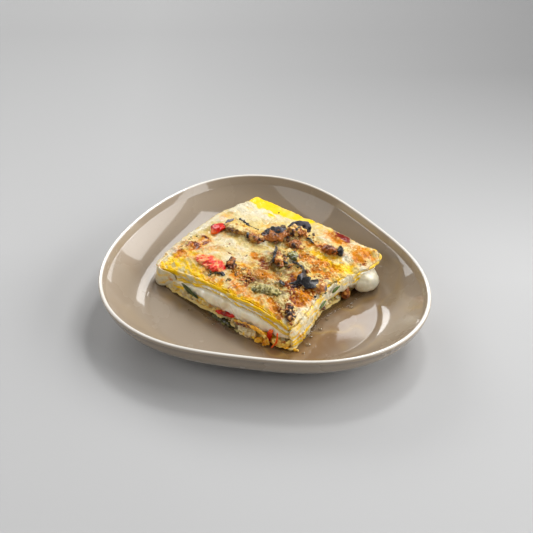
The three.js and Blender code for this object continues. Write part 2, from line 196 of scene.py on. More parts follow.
print("a loft of 3 rings of 4 points has", len(loft_faces(3, 4)), "faces")

# %% [markdown]
# ## Materials as expressions
#
# A material is a graph of nodes. Wiring it by hand is slow to write and hard to read, so a small
# class wraps each output socket and turns Python arithmetic into Math nodes. Then `1 - browned` or
# `0.3 + 0.2 * grain` says what the surface does in one line.

# %% A socket that can be used in sums


class Wire:
    """An output socket of a material's node."""

    def __init__(self, finish, socket):
        self.finish = finish
        self.socket = socket

    def _math(self, operation, first, second=0.0, clamp=False):
        settings = {"operation": operation, "use_clamp": clamp}
        return self.finish.node("ShaderNodeMath", settings, {0: first, 1: second})

    def __add__(self, other):
        return self._math("ADD", self, other)

    def __sub__(self, other):
        return self._math("SUBTRACT", self, other)

    def __rsub__(self, other):
        return self._math("SUBTRACT", other, self)

    def __mul__(self, other):
        return self._math("MULTIPLY", self, other)

    def __pow__(self, other):
        return self._math("POWER", self, other)

    __radd__ = __add__
    __rmul__ = __mul__

    def clamp(self):
        return self._math("ADD", self, clamp=True)

    def bands(self, count):
        """Up to 1 and back to 0 again and again, while the wire goes from 0 to 1."""
        return self._math("PINGPONG", self * count, 1.0)

    def above(self, low, high):
        """0 below low, 1 above high, and straight between."""
        return self._math("MULTIPLY", self - low, 1 / (high - low), clamp=True)


print("a wire has", sum(map(callable, vars(Wire).values())), "methods")

# %% [markdown]
# The second class is one material. Every node comes from its one method `node`, and the methods
# below it are the few things that food and glaze need: paint from the mesh, grain, a blend of two
# colours and a bump. Colours are given as the eye reads them, and `shade` turns them into the linear
# numbers that light is reckoned in.

# %% A material and its nodes
BRIGHTEST = 255


class Finish:
    """A material under construction, on a Principled shader."""

    def __init__(self, name):
        self.material = bpy.data.materials.new(name)
        self.material.use_nodes = True
        self.nodes = self.material.node_tree.nodes
        self.links = self.material.node_tree.links
        self.shader = self.nodes["Principled BSDF"]
        self.place = self.node("ShaderNodeTexCoord", output="Object")

    def feed(self, socket, value):
        if isinstance(value, Wire):
            self.links.new(value.socket, socket)
        elif socket.type == "RGBA" and len(value) == 3:
            socket.default_value = (*value, 1)
        else:
            socket.default_value = value

    def node(self, kind, settings=None, sockets=None, output=0):
        made = self.nodes.new(kind)
        for name, value in (settings or {}).items():
            if name == "stops":
                ramp = made.color_ramp.elements
                while len(ramp) < len(value):
                    ramp.new(0.5)
                for stop, (position, shade) in zip(ramp, value):
                    stop.position = position
                    stop.color = (*shade, 1)
            else:
                setattr(made, name, value)
        for name, value in (sockets or {}).items():
            self.feed(made.inputs[name], value)
        return Wire(self, made.outputs[output])

    def paint(self, name):
        """The paint that the mesh carries under this name."""
        return self.node("ShaderNodeAttribute", {"attribute_name": name}, output="Fac")

    def grain(self, size, detail=3.0, rough=0.55):
        """Noise from 0 to 1 in grains of about size millimetres."""
        sockets = {"Vector": self.place, "Scale": 1 / (size * MM), "Detail": detail, "Roughness": rough}
        return self.node("ShaderNodeTexNoise", {}, sockets)

    def ramp(self, value, *stops):
        return self.node("ShaderNodeValToRGB", {"stops": stops}, {0: value}, "Color")

    def blend(self, share, a, b):
        """Colour a turning into colour b."""
        settings = {"data_type": "RGBA", "clamp_factor": True}
        return self.node("ShaderNodeMix", settings, {0: share, 6: a, 7: b}, 2)

    def bump(self, height, depth, under=None):
        """A normal from height, whose full swing from 0 to 1 is depth millimetres."""
        sockets = {"Height": height, "Distance": depth * MM, "Strength": 1.0}
        if under:
            sockets["Normal"] = under
        return self.node("ShaderNodeBump", {}, sockets)

    def surface(self, **sockets):
        """Sets the shader's sockets, named in lower case with underscores."""
        for name, value in sockets.items():
            title = name.replace("_", " ").title().replace("Ior", "IOR")
            self.feed(self.shader.inputs[title], value)
        return self.material


def shade(red, green, blue):
    """A colour as the eye reads it, from 0 to 255, in the linear numbers that a shader uses."""
    values = np.array([red, green, blue]) / BRIGHTEST
    return tuple(np.where(values < 0.04045, values / 12.92, ((values + 0.055) / 1.055) ** 2.4))


print("cream is", np.round(shade(243, 229, 186), 3))

# %% [markdown]
# ## The plate
#
# The plate is stoneware with a rounded-triangle outline. Its floor is almost flat, and then curves
# up ever more steeply into the wall, so one formula gives the height at any share of the way out to
# the rim. Rings of points follow that profile from the foot, up the outside, over the rim and back
# in to the middle. The rings are finer at the rim, whose edge is bare of the brown glaze.

# %% Shape the plate
PLATE_MIDDLE = np.array([-1.378, -6.927])
PLATE_REACH = 114.6
PLATE_HEIGHT = 34.0
RIM_RADIUS = 1.7
WALL = 4.2
WALL_AT_RIM = 3.1
FLOOR = 6.2
DISH = 0.7
FLOOR_SHARE = 0.7
PLATE_POINTS = 300
# The foot's rings from the middle outwards: share of the reach, millimetres past it, height.
FOOT = [
    (0.1, 0, 2.4),
    (0.3, 0, 2.4),
    (0.5, -6.6, 2.3),
    (0.5, -5.6, 1.6),
    (0.5, -5.1, 0.5),
    (0.5, -4.4, 0.05),
    (0.5, -3.6, 0),
    (0.5, -1.4, 0),
    (0.5, -0.5, 0.15),
    (0.5, 0.3, 0.8),
    (0.5, 1.4, 1.8),
    (0.54, 0, 2.15),
]


def plate_reach(angle):
    """Distance from the plate's middle to its rim."""
    oval = 7.2 * np.cos(2 * (angle - radians(-33.3)))
    triangle = 8.3 * np.cos(3 * (angle - radians(-31.8)))
    return PLATE_REACH + oval + triangle


def plate_height(share):
    """Height of the upper surface at a share of the way out to the rim."""
    rise = PLATE_HEIGHT - RIM_RADIUS - FLOOR - DISH
    up = np.maximum(share - FLOOR_SHARE, 0) / (1 - FLOOR_SHARE)
    return FLOOR + DISH * np.minimum(share / FLOOR_SHARE, 1) ** 2 + rise * up**1.7


def plate_share(x, y):
    dx, dy = x - PLATE_MIDDLE[0], y - PLATE_MIDDLE[1]
    return np.hypot(dx, dy) / plate_reach(np.arctan2(dy, dx))


def plate_top(x, y):
    return plate_height(plate_share(x, y))


def plate_ring(share, extra, height):
    angle = np.linspace(0, 2 * pi, PLATE_POINTS, endpoint=False)
    reach = share * plate_reach(angle) + extra
    x = PLATE_MIDDLE[0] + reach * np.cos(angle)
    y = PLATE_MIDDLE[1] + reach * np.sin(angle)
    return np.column_stack([x, y, np.full(PLATE_POINTS, height)])


def plate_rings():
    """Rings of the foot, the outside of the wall, the rim, and the upper surface."""
    rings = [plate_ring(*row) for row in FOOT]
    for share in np.linspace(0.6, 0.985, 22):
        blend = step(share, 0.95, 0.99)
        out = mix(0.35 * WALL * step(share, 0.55, 0.72), 0.2, blend)
        rings.append(plate_ring(share, out, plate_height(share) - mix(WALL, WALL_AT_RIM, blend)))
    for degrees in np.linspace(-60, 150, 16):
        out = RIM_RADIUS * (cos(radians(degrees)) - 1)
        rise = RIM_RADIUS * (sin(radians(degrees)) - 1)
        rings.append(plate_ring(1, out, PLATE_HEIGHT + rise))
    inner = [*np.linspace(0.965, 0.66, 44), *np.linspace(0.62, 0.05, 14)]
    rings += [plate_ring(share, -0.4, plate_height(share)) for share in inner]
    return rings


print("the plate is", round(2 * PLATE_REACH), "mm across on average, its floor", FLOOR, "mm high")

# %% [markdown]
# Oil and cooking juice have run out of the slice on to the plate. On a glossy glaze a thin film
# hardly changes the shine, but it warms and darkens the colour, so it is painted on the glaze. The
# film is widest on the side where the slice leans. The pale golden swirl lines on it are painted sheen.

# %% Paint the plate
SLICE_MIDDLE = np.array([2.6, 10.7])
SLICE_TURN = radians(-40)
ALONG = np.array([cos(SLICE_TURN), sin(SLICE_TURN)])
ACROSS = np.array([-sin(SLICE_TURN), cos(SLICE_TURN)])


def to_slice(x, y):
    """Places u along the slice and v across it, from its middle."""
    shift = np.column_stack([x, y]) - SLICE_MIDDLE
    return shift @ ALONG, shift @ ACROSS


def to_plate(u, v, z):
    x, y = SLICE_MIDDLE[:, None] + ALONG[:, None] * u + ACROSS[:, None] * v
    return np.column_stack([x, y, z * np.ones(len(x))])


def turned(u, v, turn):
    """Distances along and across a direction that is turned by so many degrees."""
    c, s = cos(radians(turn)), sin(radians(turn))
    return u * c + v * s, v * c - u * s


def patch(u, v, spots):
    """Sum of soft oval spots, each (u, v, half length, half width, turn, strength)."""
    total = np.zeros(len(u))
    for middle_u, middle_v, length, width, turn, strength in spots:
        lengthwise, crosswise = turned(u - middle_u, v - middle_v, turn)
        total += strength * np.exp(-((lengthwise / length) ** 2) - (crosswise / width) ** 2)
    return total


OIL = [
    (74, -6, 20, 44, -8, 1.3),
    (76, -46, 24, 20, 30, 0.9),
    (-10, -63, 62, 6, 0, 0.6),
    (58, -60, 20, 8, 0, 0.5),
]
plate_points, plate_faces = loft(plate_rings())
x, y, z = plate_points.T
u, v = to_slice(x, y)
flat = plate_points * [1, 1, 0]
swirl = noise(flat, 26, 3) + 0.5 * noise(flat, 9, 2, 4)
oil = np.clip(patch(u, v, OIL) * (0.75 + 0.5 * swirl), 0, 1) * (z > plate_height(0.6) - 1)
plate_paints = {"oil": oil, "bare": 0.9 * bell(z, PLATE_HEIGHT, 0.45)}
plate = make_object("serving_plate", plate_points, plate_faces, plate_paints)

glaze = Finish("taupe glaze")
mottle = glaze.grain(38, 4)
specks = glaze.grain(1.4, 2).above(0.66, 0.74)
body = glaze.blend(mottle, shade(152, 136, 116), shade(162, 146, 126))
body = glaze.blend(specks * 0.25, body, shade(112, 94, 76))
body = glaze.blend(glaze.paint("oil") * 0.85, body, shade(126, 90, 44))
# Painted sheen: pale golden swirl lines on the oil film, standing in for reflections.
painted_sheen_swirls = glaze.grain(70, 2).bands(16) ** 4
body = glaze.blend(glaze.paint("oil") * painted_sheen_swirls * 0.6, body, shade(186, 152, 84))
body = glaze.blend(glaze.paint("bare"), body, shade(238, 234, 226))
ripple = glaze.grain(30, 2)
glaze.surface(
    base_color=body,
    roughness=0.24 + 0.06 * mottle,
    normal=glaze.bump(ripple, 0.04),
    specular_ior_level=0.3,
    coat_weight=0.9,
    coat_roughness=0.03,
)
finish_piece(plate, glaze.material, "glaze", "plate")

# %% [markdown]
# ## The slice's outline and its layers
#
# The slice was cut square, then slumped. Each of its four sides bows in and out, differently at the
# plate and at the crust, and the values here are how far, at seven stations along each side. Seen
# from above, every layer is the same rounded rectangle, pushed in and out by these. Its surfaces
# follow the sum of the thicknesses below them.

# %% Outline of the slice
HALF_LENGTH, HALF_WIDTH = 62.0, 54.5
SQUARENESS = 18
KNEE = 0.76
AT_PLATE = {
    "front_left": [1.5, 2.6, 4.4, 3.2, 4.8, 2.4, -2.5],
    "front_right": [3, 1.5, -3.7, -5, -4.5, -3.5, -3],
    "back_left": [1, 4, 3, 3, 1.5, -2, -5],
    "back_right": [-2, 0.5, 2.5, 3, 2.2, 0.5, -2],
}
AT_CRUST = {
    "front_left": [2, -2.6, -1.6, -0.8, -0.6, -3.2, -4.2],
    "front_right": [2.2, 1.6, -1.6, -5.2, -2.8, 3.6, 6],
    "back_left": [3.6, 5.4, 4, 3.3, 2, -2.6, -6.5],
    "back_right": [-2.5, 0.5, 2.8, 4, 3, 1, 1.5],
}
LEFT_CORNER, FRONT_CORNER = (-62, -54), (64, -51)


def along(values, q):
    """A smooth line through evenly spaced values, at q from -1 to 1."""
    values = np.asarray(values, float)
    last = len(values) - 1
    x = (np.clip(q, -1, 1) + 1) * 0.5 * last
    k = np.minimum(np.floor(x).astype(int), last - 1)
    a, b, c, d = (values[np.clip(k + shift, 0, last)] for shift in (-1, 0, 1, 2))
    f = x - k
    return b + 0.5 * f * (c - a + f * (2 * a - 5 * b + 4 * c - d + f * (3 * (b - c) + d - a)))


def square(angle):
    """The plain outline, as shares of the half length and the half width."""
    x, y = np.cos(angle), np.sin(angle)
    size = (np.abs(x) ** SQUARENESS + np.abs(y) ** SQUARENESS) ** (1 / SQUARENESS)
    return x / size, y / size


def facing(s, t):
    """How far each point of the outline faces along the slice, and how far across it."""
    return np.abs(s) ** SQUARENESS, np.abs(t) ** SQUARENESS


def bow(side, q, level):
    """How far a side stands out at a level from 0, at the plate, to 1, at the crust."""
    return mix(along(AT_PLATE[side], q), along(AT_CRUST[side], q), level)


def edge_share(angle, level, reach):
    """Where a layer's edge is, as a share of the way to the plain outline.

    Reach is how much further out the layer stands on a side, as a number or a function of q.
    """
    s, t = square(angle)

    def out(side, q):
        extra = reach.get(side, 0)
        return bow(side, q, level) + (extra(q) if callable(extra) else extra)

    out_u = np.where(s > 0, out("front_right", t), out("back_left", t))
    out_v = np.where(t > 0, out("back_right", s), out("front_left", s))
    facing_u, facing_v = facing(s, t)
    return 1 + facing_u * out_u / HALF_LENGTH + facing_v * out_v / HALF_WIDTH


def near_corner(u, v, corner, width):
    return np.exp(-((u - corner[0]) ** 2 + (v - corner[1]) ** 2) / width**2)


def rim_of_slice(u, v):
    return step(np.maximum(np.abs(u) / HALF_LENGTH, np.abs(v) / HALF_WIDTH), 0.66, 1)


def swelling(u, v):
    """Where sauce has swollen out of the front-left side."""
    return bell(v, -HALF_WIDTH, 22) * step(u, -45, 0) * (1 - step(u, 30, 66))


for side in AT_PLATE:
    print(side, "bows out at its middle by", AT_PLATE[side][3], "to", AT_CRUST[side][3], "mm")

# %% [markdown]
# Each layer's thickness is a function of u and v. The layers are thinnest at the left and front
# corners, and the white sauce is thickest where it has swollen out at the front-left.

# %% Thickness of the layers
CLEARANCE = 0.4
PASTA = 1.5
SLUMP_AT_LEFT, SLUMP_AT_FRONT = 36, 26


def lower_filling(u, v):
    left = near_corner(u, v, LEFT_CORNER, SLUMP_AT_LEFT)
    front = near_corner(u, v, FRONT_CORNER, SLUMP_AT_FRONT)
    return 6.6 - 4.6 * left - 2 * front - 1.3 * step(u, 34, 60) - swelling(u, v)


def sauce(u, v):
    left = near_corner(u, v, LEFT_CORNER, SLUMP_AT_LEFT)
    front = near_corner(u, v, FRONT_CORNER, SLUMP_AT_FRONT)
    return 3.4 + 5.4 * swelling(u, v) - 2 * left - 0.4 * front


def upper_filling(u, v):
    left = near_corner(u, v, LEFT_CORNER, SLUMP_AT_LEFT)
    return 3.0 - 1.5 * rim_of_slice(u, v) - 0.5 * left - 0.5 * swelling(u, v)


def crust(u, v):
    return 2.6 - 0.9 * rim_of_slice(u, v)


STACK = [PASTA, lower_filling, PASTA, sauce, PASTA, upper_filling, PASTA, crust]
BASE_SHEET, LOWER_SHEET, MIDDLE_SHEET, TOP_SHEET = 0, 2, 4, 6
LOWER_FILLING, WHITE_SAUCE, UPPER_FILLING, CRUST = 1, 3, 5, 7


def layer_base(k, u, v):
    """Height of the underside of layer k."""
    x, y, _ = to_plate(u, v, 0).T
    height = plate_top(x, y) + 0.5 + 0.5 * rim_of_slice(u, v)
    for thickness in STACK[:k]:
        height = height + CLEARANCE + (thickness(u, v) if callable(thickness) else thickness)
    return height


def straight_out(surface, angle, share):
    """Height of a surface that runs on in a straight line outside the knee."""
    s, t = square(angle)
    knee = surface(KNEE * s * HALF_LENGTH, KNEE * t * HALF_WIDTH)
    outline = surface(s * HALF_LENGTH, t * HALF_WIDTH)
    inner = surface(share * s * HALF_LENGTH, share * t * HALF_WIDTH)
    return np.where(share > KNEE, mix(knee, outline, (share - KNEE) / (1 - KNEE)), inner)


def crust_top(u, v):
    return layer_base(len(STACK), u, v) - CLEARANCE


print("crust top at the middle:", crust_top(np.zeros(1), np.zeros(1)))

# %% [markdown]
# A layer is lofted through rings: in along its underside, up its cut edge, and back along its top.
# The cut edge is all that shows, so it gets the most rings. Roughness moves each point of the edge
# out or in and up or down, by noise that depends on the kind of layer.

# %% Make a layer
EDGE_POINTS = 900
ANGLES = np.linspace(0, 2 * pi, EDGE_POINTS, endpoint=False)
INNER_ROWS = 5


def layer_rings(k, level, reach, rows, profile, rough, sag, inner_rows=INNER_ROWS):
    """Rings of layer k.

    Profile gives how far the edge stands out at each share of its height, rough how far its points
    are moved out, and sag how far they are moved up.
    """
    edge = edge_share(ANGLES, level, reach)
    s, t = square(ANGLES)
    facing_u, facing_v = facing(s, t)

    def under(u, v):
        return layer_base(k, u, v) - 0.5 * CLEARANCE

    def over(u, v):
        return layer_base(k + 1, u, v) - 0.5 * CLEARANCE

    def surface_rings(surface, shares, h):
        outs = [mix(KNEE, edge, (q - KNEE) / (1 - KNEE)) for q in shares]
        return [(out, straight_out(surface, ANGLES, out), h) for out in outs]

    low, high = (straight_out(surface, ANGLES, edge) for surface in (under, over))
    shares = np.linspace(KNEE, 1, inner_rows + 1)[:-1]
    rings = surface_rings(under, shares, 0.0)
    rings += [(edge, mix(low, high, h), h) for h in np.linspace(0, 1, rows)]
    rings += surface_rings(over, shares[::-1], 1.0)
    made = []
    for share, height, h in rings:
        u, v = share * s * HALF_LENGTH, share * t * HALF_WIDTH
        loose = step(share / edge, 0.8, 1)
        place = to_plate(u, v, height)
        out = loose * (profile(h, u, v) + rough(place))
        u = u + out * np.sign(s) * facing_u / np.hypot(facing_u, facing_v)
        v = v + out * np.sign(t) * facing_v / np.hypot(facing_u, facing_v)
        made.append(to_plate(u, v, height + loose * sag(u, v, place, h)))
    return made


def slice_layer(name, rings, material, slot, node, paint=None):
    points, faces = loft(rings)
    piece = make_object(name, points, faces, paint(points) if paint else None)
    finish_piece(piece, material, slot, node)


print("each ring of a layer has", len(ANGLES), "points")


# %% [markdown]
# ## Pasta sheets
#
# Fresh egg pasta is about a millimetre and a half thick and bright yellow. Its cut edge is rounded
# and wet, and it wanders up and down with what lies under it. The top sheet is bare along the back
# right edge, where it is at its yellowest. First its finish: the paint called yolk turns cream into
# yellow, because sauce has paled some parts of each sheet.

# %% Finish of the pasta
pasta_finish = Finish("egg pasta")
tone = pasta_finish.grain(9, 3)
yolk = pasta_finish.paint("yolk")
pasta_colour = pasta_finish.blend(yolk, shade(232, 208, 138), shade(246, 200, 0))
pasta_colour = pasta_finish.blend(tone.above(0.55, 0.8) * 0.4, pasta_colour, shade(246, 214, 70))
pasta_finish.surface(
    base_color=pasta_colour,
    roughness=0.22 + 0.25 * pasta_finish.grain(4, 2),
    normal=pasta_finish.bump(pasta_finish.grain(3.5, 4), 0.35),
    specular_ior_level=0.15,
    subsurface_weight=0.06,
    subsurface_radius=(1.0, 0.8, 0.3),
    subsurface_scale=2 * MM,
    coat_weight=0.2,
    coat_roughness=0.1,
)
print(pasta_finish.material.name, "has", len(pasta_finish.nodes), "nodes")

# %% [markdown]
# Then the four sheets. Each is a layer whose edge is rounded, wanders in and out, and ruffles up and
# down. The lower one also folds down on to the plate at the front corner, and the top one gets more
# rows, because its bare strip is seen.

# %% Pasta sheets


def round_edge(h, u, v):
    return 0.5 * PASTA * (np.sqrt(1 - (2 * h - 1) ** 2) - 1)


def wander(seed):
    def rough(place):
        flat = place * [1, 1, 0]
        return 1.6 * noise(flat, 12, 2, seed) + 0.8 * noise(flat, 4, 2, seed + 1)

    return rough


def ruffle(seed, drop=None):
    def sag(u, v, place, h):
        flat = place * [1, 1, 0]
        lift = 0.8 * noise(flat, 20, 2, seed) + 0.4 * noise(flat, 6, 2, seed + 1)
        return lift + (drop(u, v) if drop else 0)

    return sag


def pasta_paint(seed, amount):
    def paint(points):
        return {"yolk": np.clip(amount + 0.6 * noise(points, 13, 2, seed), 0, 1)}

    return paint


def dive(u, v):
    """The lower sheet folds down on to the plate at the front."""
    return -2.9 * step(u, 36, 50) * step(-v, 38, 48)


def fold_reach(t):
    """That fold stands out a little."""
    return 0.3 + 1.5 * bell(t, -1, 0.2)


def tongue_reach(t):
    """The base sheet sticks out near the front corner."""
    return 4 * bell(t, -0.86, 0.09)


# Which sheet, its layer, its level from plate to crust, its yolk, inner rows, reach and drop.
SHEETS = [
    ("base", BASE_SHEET, 0.0, 0.05, INNER_ROWS, {"front_right": tongue_reach}, None),
    ("lower", LOWER_SHEET, 0.35, 0.6, INNER_ROWS, {"front_right": fold_reach}, dive),
    ("middle", MIDDLE_SHEET, 0.8, 0.7, INNER_ROWS, {"front_left": 1.0}, None),
    ("top", TOP_SHEET, 1.0, 0.95, 14, {"back_right": 0.6}, None),
]
SHEET_EDGE_ROWS = 7
for which, k, level, yolk, inner_rows, reach, drop in SHEETS:
    folds = ruffle(k, drop)
    rings = layer_rings(k, level, reach, SHEET_EDGE_ROWS, round_edge, wander(k), folds, inner_rows)
    paint, node = pasta_paint(k, yolk), f"pasta_sheet_{which}"
    slice_layer(f"pasta_{which}", rings, pasta_finish.material, "pasta", node, paint)

# %% [markdown]
# ## White sauce
#
# The sauce is thick, smooth and shiny, and swells out of the cut as one soft bulge, so its edge
# has a round profile and only large, gentle noise. It hangs over the pasta under it.

# %% Sauce
def sauce_material(name, light, dark, rough, wet):
    finish = Finish(name)
    cream = finish.grain(12, 3)
    finish.surface(
        base_color=finish.blend(cream.above(0.35, 0.75), shade(*light), shade(*dark)),
        roughness=rough + 0.2 * finish.grain(7, 2),
        normal=finish.bump(finish.grain(2.6, 3), 0.2),
        subsurface_weight=0.3,
        subsurface_radius=(1.0, 0.8, 0.5),
        subsurface_scale=3 * MM,
        coat_weight=wet,
        coat_roughness=0.08,
    )
    return finish.material


smooth_sauce = sauce_material("white sauce", (246, 240, 222), (238, 222, 178), 0.16, 0.5)
thick_sauce = sauce_material("thick sauce", (238, 232, 212), (204, 192, 150), 0.35, 0.25)


def sauce_profile(h, u, v):
    belly = np.sqrt(np.maximum(1 - (2 * h - 1) ** 2, 0))
    return (1.4 + 1.6 * swelling(u, v)) * belly - 0.5


def sauce_rough(place):
    return 1.7 * noise(place, 12, 2, 31) + 0.7 * noise(place, 5, 2, 32)


def sauce_sag(u, v, place, h):
    flat = place * [1, 1, 0]
    drips = np.clip(noise(flat, 13, 2, 33) + 0.15, 0, 1)
    return -(1 - h) * (2.2 * swelling(u, v) * (0.5 + drips)) + 0.3 * noise(flat, 12, 1, 34)


SAUCE_REACH = {"front_left": lambda s: 0.8 * bell(s, 0, 0.6), "front_right": -0.8}
rings = layer_rings(WHITE_SAUCE, 0.55, SAUCE_REACH, 26, sauce_profile, sauce_rough, sauce_sag)
slice_layer("white_sauce", rings, smooth_sauce, "white_sauce", "white_sauce_layer")

# %% [markdown]
# ## Vegetable fillings
#
# Between the sheets lie small chunks of courgette, pepper, aubergine and herbs, stuck together by
# sauce. From outside we see a wall of chunks, each with its own colour. We scatter seeds through
# the layer, give each point of the wall to its nearest seed, and push it in near the border
# between two, which is how cells of a soft packing look. The seed's number also picks the colour.

# %% Chunks of a filling


def chunks(points, spacing, seed):
    """For each point, how deep it is inside its chunk, and that chunk's random number."""
    dice = np.random.default_rng(seed)
    cell = np.floor(points / spacing).astype(int)
    first, second = np.full(len(points), 9.0), np.full(len(points), 9.0)
    number = np.zeros(len(points))
    jitter = dice.uniform(0.1, 0.9, (256, 3))
    value = dice.uniform(0, 1, 256)
    for shift in product((-1, 0, 1), repeat=3):
        x, y, z = ((cell + shift) & 255).T
        code = SHUFFLE[(SHUFFLE[(SHUFFLE[x] + y) & 255] + z) & 255]
        gap = np.linalg.norm(points / spacing - (cell + shift) - jitter[code], axis=1)
        closer = gap < first
        second = np.where(closer, first, np.minimum(second, gap))
        number = np.where(closer, value[code], number)
        first = np.where(closer, gap, first)
    return np.clip((second - first) * 2.2, 0, 1), number


depth, number = chunks(trial_points, 5, 5)
print("chunks near a border:", (depth < 0.2).mean().round(2), "of the points")

# %% [markdown]
# The finish turns a chunk's number into the colour of its vegetable, and darkens the gaps between
# chunks with painted shade.

# %% Finish of the fillings
filling_finish = Finish("vegetables in sauce")
pick = filling_finish.paint("chunk")
chunk_colour = filling_finish.ramp(
    pick,
    (0.0, shade(238, 220, 160)),
    (0.24, shade(232, 188, 60)),
    (0.38, shade(242, 230, 184)),
    (0.55, shade(176, 160, 80)),
    (0.64, shade(236, 208, 120)),
    (0.78, shade(196, 112, 30)),
    (0.84, shade(240, 224, 164)),
    (0.94, shade(84, 74, 28)),
    (1.0, shade(110, 54, 20)),
)
# Painted shade: brown near the border between two chunks, where the gaps are.
deep = filling_finish.paint("depth")
chunk_colour = filling_finish.blend(deep.above(0.0, 0.35), shade(150, 104, 44), chunk_colour)
filling_finish.surface(
    base_color=chunk_colour,
    roughness=0.2 + 0.3 * filling_finish.grain(2.5, 2),
    normal=filling_finish.bump(filling_finish.grain(1.6, 4), 0.5),
    subsurface_weight=0.2,
    subsurface_radius=(1.0, 0.6, 0.3),
    subsurface_scale=2 * MM,
    coat_weight=0.4,
    coat_roughness=0.1,
)


print(filling_finish.material.name, "has", len(filling_finish.nodes), "nodes")


def filling_rough(spacing, seed, size):
    def rough(place):
        depth, _ = chunks(place, spacing, seed)
        return size * (depth - 0.5) + 0.5 * noise(place, 2.0, 2, seed) + 0.8 * noise(place, 14, 1, seed)

    return rough


def filling_paint(spacing, seed):
    def paint(points):
        depth, number = chunks(points, spacing, seed)
        return {"chunk": number, "depth": depth}

    return paint


def flat_profile(h, u, v):
    return 0.5 * np.sqrt(np.maximum(1 - (2 * h - 1) ** 2, 0)) - 0.1


# %% [markdown]
# The lower filling shows its chunks. The upper one lies under sauce that has run over it, so it
# keeps the chunks' shape, but has the sauce's profile and finish.

# %% Fillings
LOWER_REACH = {side: -1 for side in AT_PLATE}
LOWER_REACH["front_left"] = lambda s: -1 - 2 * bell(s, 0.72, 0.16)
rough, paint = filling_rough(5.2, 5, 2.4), filling_paint(5.2, 5)
rings = layer_rings(LOWER_FILLING, 0.15, LOWER_REACH, 20, flat_profile, rough, ruffle(51))
material, node = filling_finish.material, "vegetable_filling_lower"
slice_layer("filling_lower", rings, material, "filling", node, paint)
UPPER_REACH = {side: -0.5 for side in AT_PLATE}
rough = filling_rough(6, 8, 0.9)
rings = layer_rings(UPPER_FILLING, 0.9, UPPER_REACH, 10, sauce_profile, rough, ruffle(61))
slice_layer("filling_upper", rings, smooth_sauce, "filling", "vegetable_filling_upper")

# %% [markdown]
# ## The crust
#
# The crust is the part that everybody looks at. Melted cheese has set in low lumps, wrinkles and
# strands, and has browned where it stood highest. It is a fine grid of points, half a millimetre
# apart, so its relief is real and casts real shadows. The grid is square in the middle and takes
# the slice's rounded outline at its edge. First the relief: mounds where a vegetable lies under the
# cheese, hollows where it sank, and over them waves, lumps, ridges, grit and strands of noise.

# %% Relief of the crust
# Mounds and hollows: u, v, half length, half width, turn and height.
BUMPS = [
    (-35, 9.5, 17, 6, 6, 2.0), (-19, 9, 8, 4, 5, 1.2), (-9, 20, 12, 7, 48, 2.0),
    (4, 30, 12, 8, 30, 1.6), (12, 21, 9, 5, -30, 1.2), (11, 0, 9, 8, 0, 1.8), (18, 9, 7, 5, 0, 1.0),
    (29, 4, 10, 3, -20, 0.8), (40, -7, 12, 9, -40, 1.6), (53, -6, 7, 7, 0, 1.0),
    (52, -14, 6, 6, 10, 1.4), (29, -35, 13, 6, 22, 1.7), (54, -41, 9, 6, -48, 1.8),
    (-12, -28, 7, 6, 30, 1.3), (2, -29, 14, 6, -28, 1.9), (-25, -36, 17, 7, 0, 0.8),
    (34, 34, 9, 6, 42, 1.4), (31, 52, 9, 5, 0, 0.8), (30, 14, 13, 4, 8, 0.9), (56, 44, 8, 8, 0, 0.7),
    (12, -37, 4, 7, 20, -2.4), (-41, 3, 10, 3, 0, -0.9), (18, -8, 9, 5, -20, -1.2),
    (-14, 14, 7, 3, 0, -0.8), (50, -31, 7, 3, -20, -0.8),
]


TOASTED = [(26, -12, 38, 30, -20, 1.1), (45, 20, 26, 18, 20, 0.8)]
SHREDDED = [(-46, -46, 28, 14, -8, 0.9), (20, -50, 50, 6, 0, 0.4)]
STRAND_TURN = -28


def toasted_zone(u, v):
    """Where the cheese is rough and brown, against where it is smooth and pale."""
    return np.clip(patch(u, v, TOASTED), 0, 1)


def strands(u, v):
    """Noise drawn out along a direction, like shreds of cheese."""
    lengthwise, crosswise = turned(u, v, STRAND_TURN)
    return flat_noise(lengthwise / 5, crosswise, 2.0, 3, 5)


def cheese_lumps(u, v):
    return flat_noise(u, v, 8, 3, 2)


def relief(u, v):
    rough = toasted_zone(u, v)
    shredded = np.clip(patch(u, v, SHREDDED), 0, 1)
    flat = np.column_stack([u, v, 0 * u])
    warp = 1.2 * np.column_stack([flat_noise(u, v, 9, 2, 14), flat_noise(u, v, 9, 2, 15), 0 * u])
    wavy = flat_noise(u, v, 24, 2, 1)
    lumps = (0.9 + 0.7 * rough) * cheese_lumps(u, v)
    ridges = (0.12 + 1.0 * rough) * (crests(flat + 2 * warp, 7.5, 3, 3) - 0.4)
    grit = (0.12 + 0.45 * rough) * flat_noise(u, v, 2.6, 3, 7)
    shreds = (0.12 + 1.1 * shredded) * strands(u, v)
    return wavy + lumps + ridges + grit + shreds + patch(u, v, BUMPS)


print("relief at the front corner:", relief(*np.array([FRONT_CORNER], float).T).round(2), "mm")
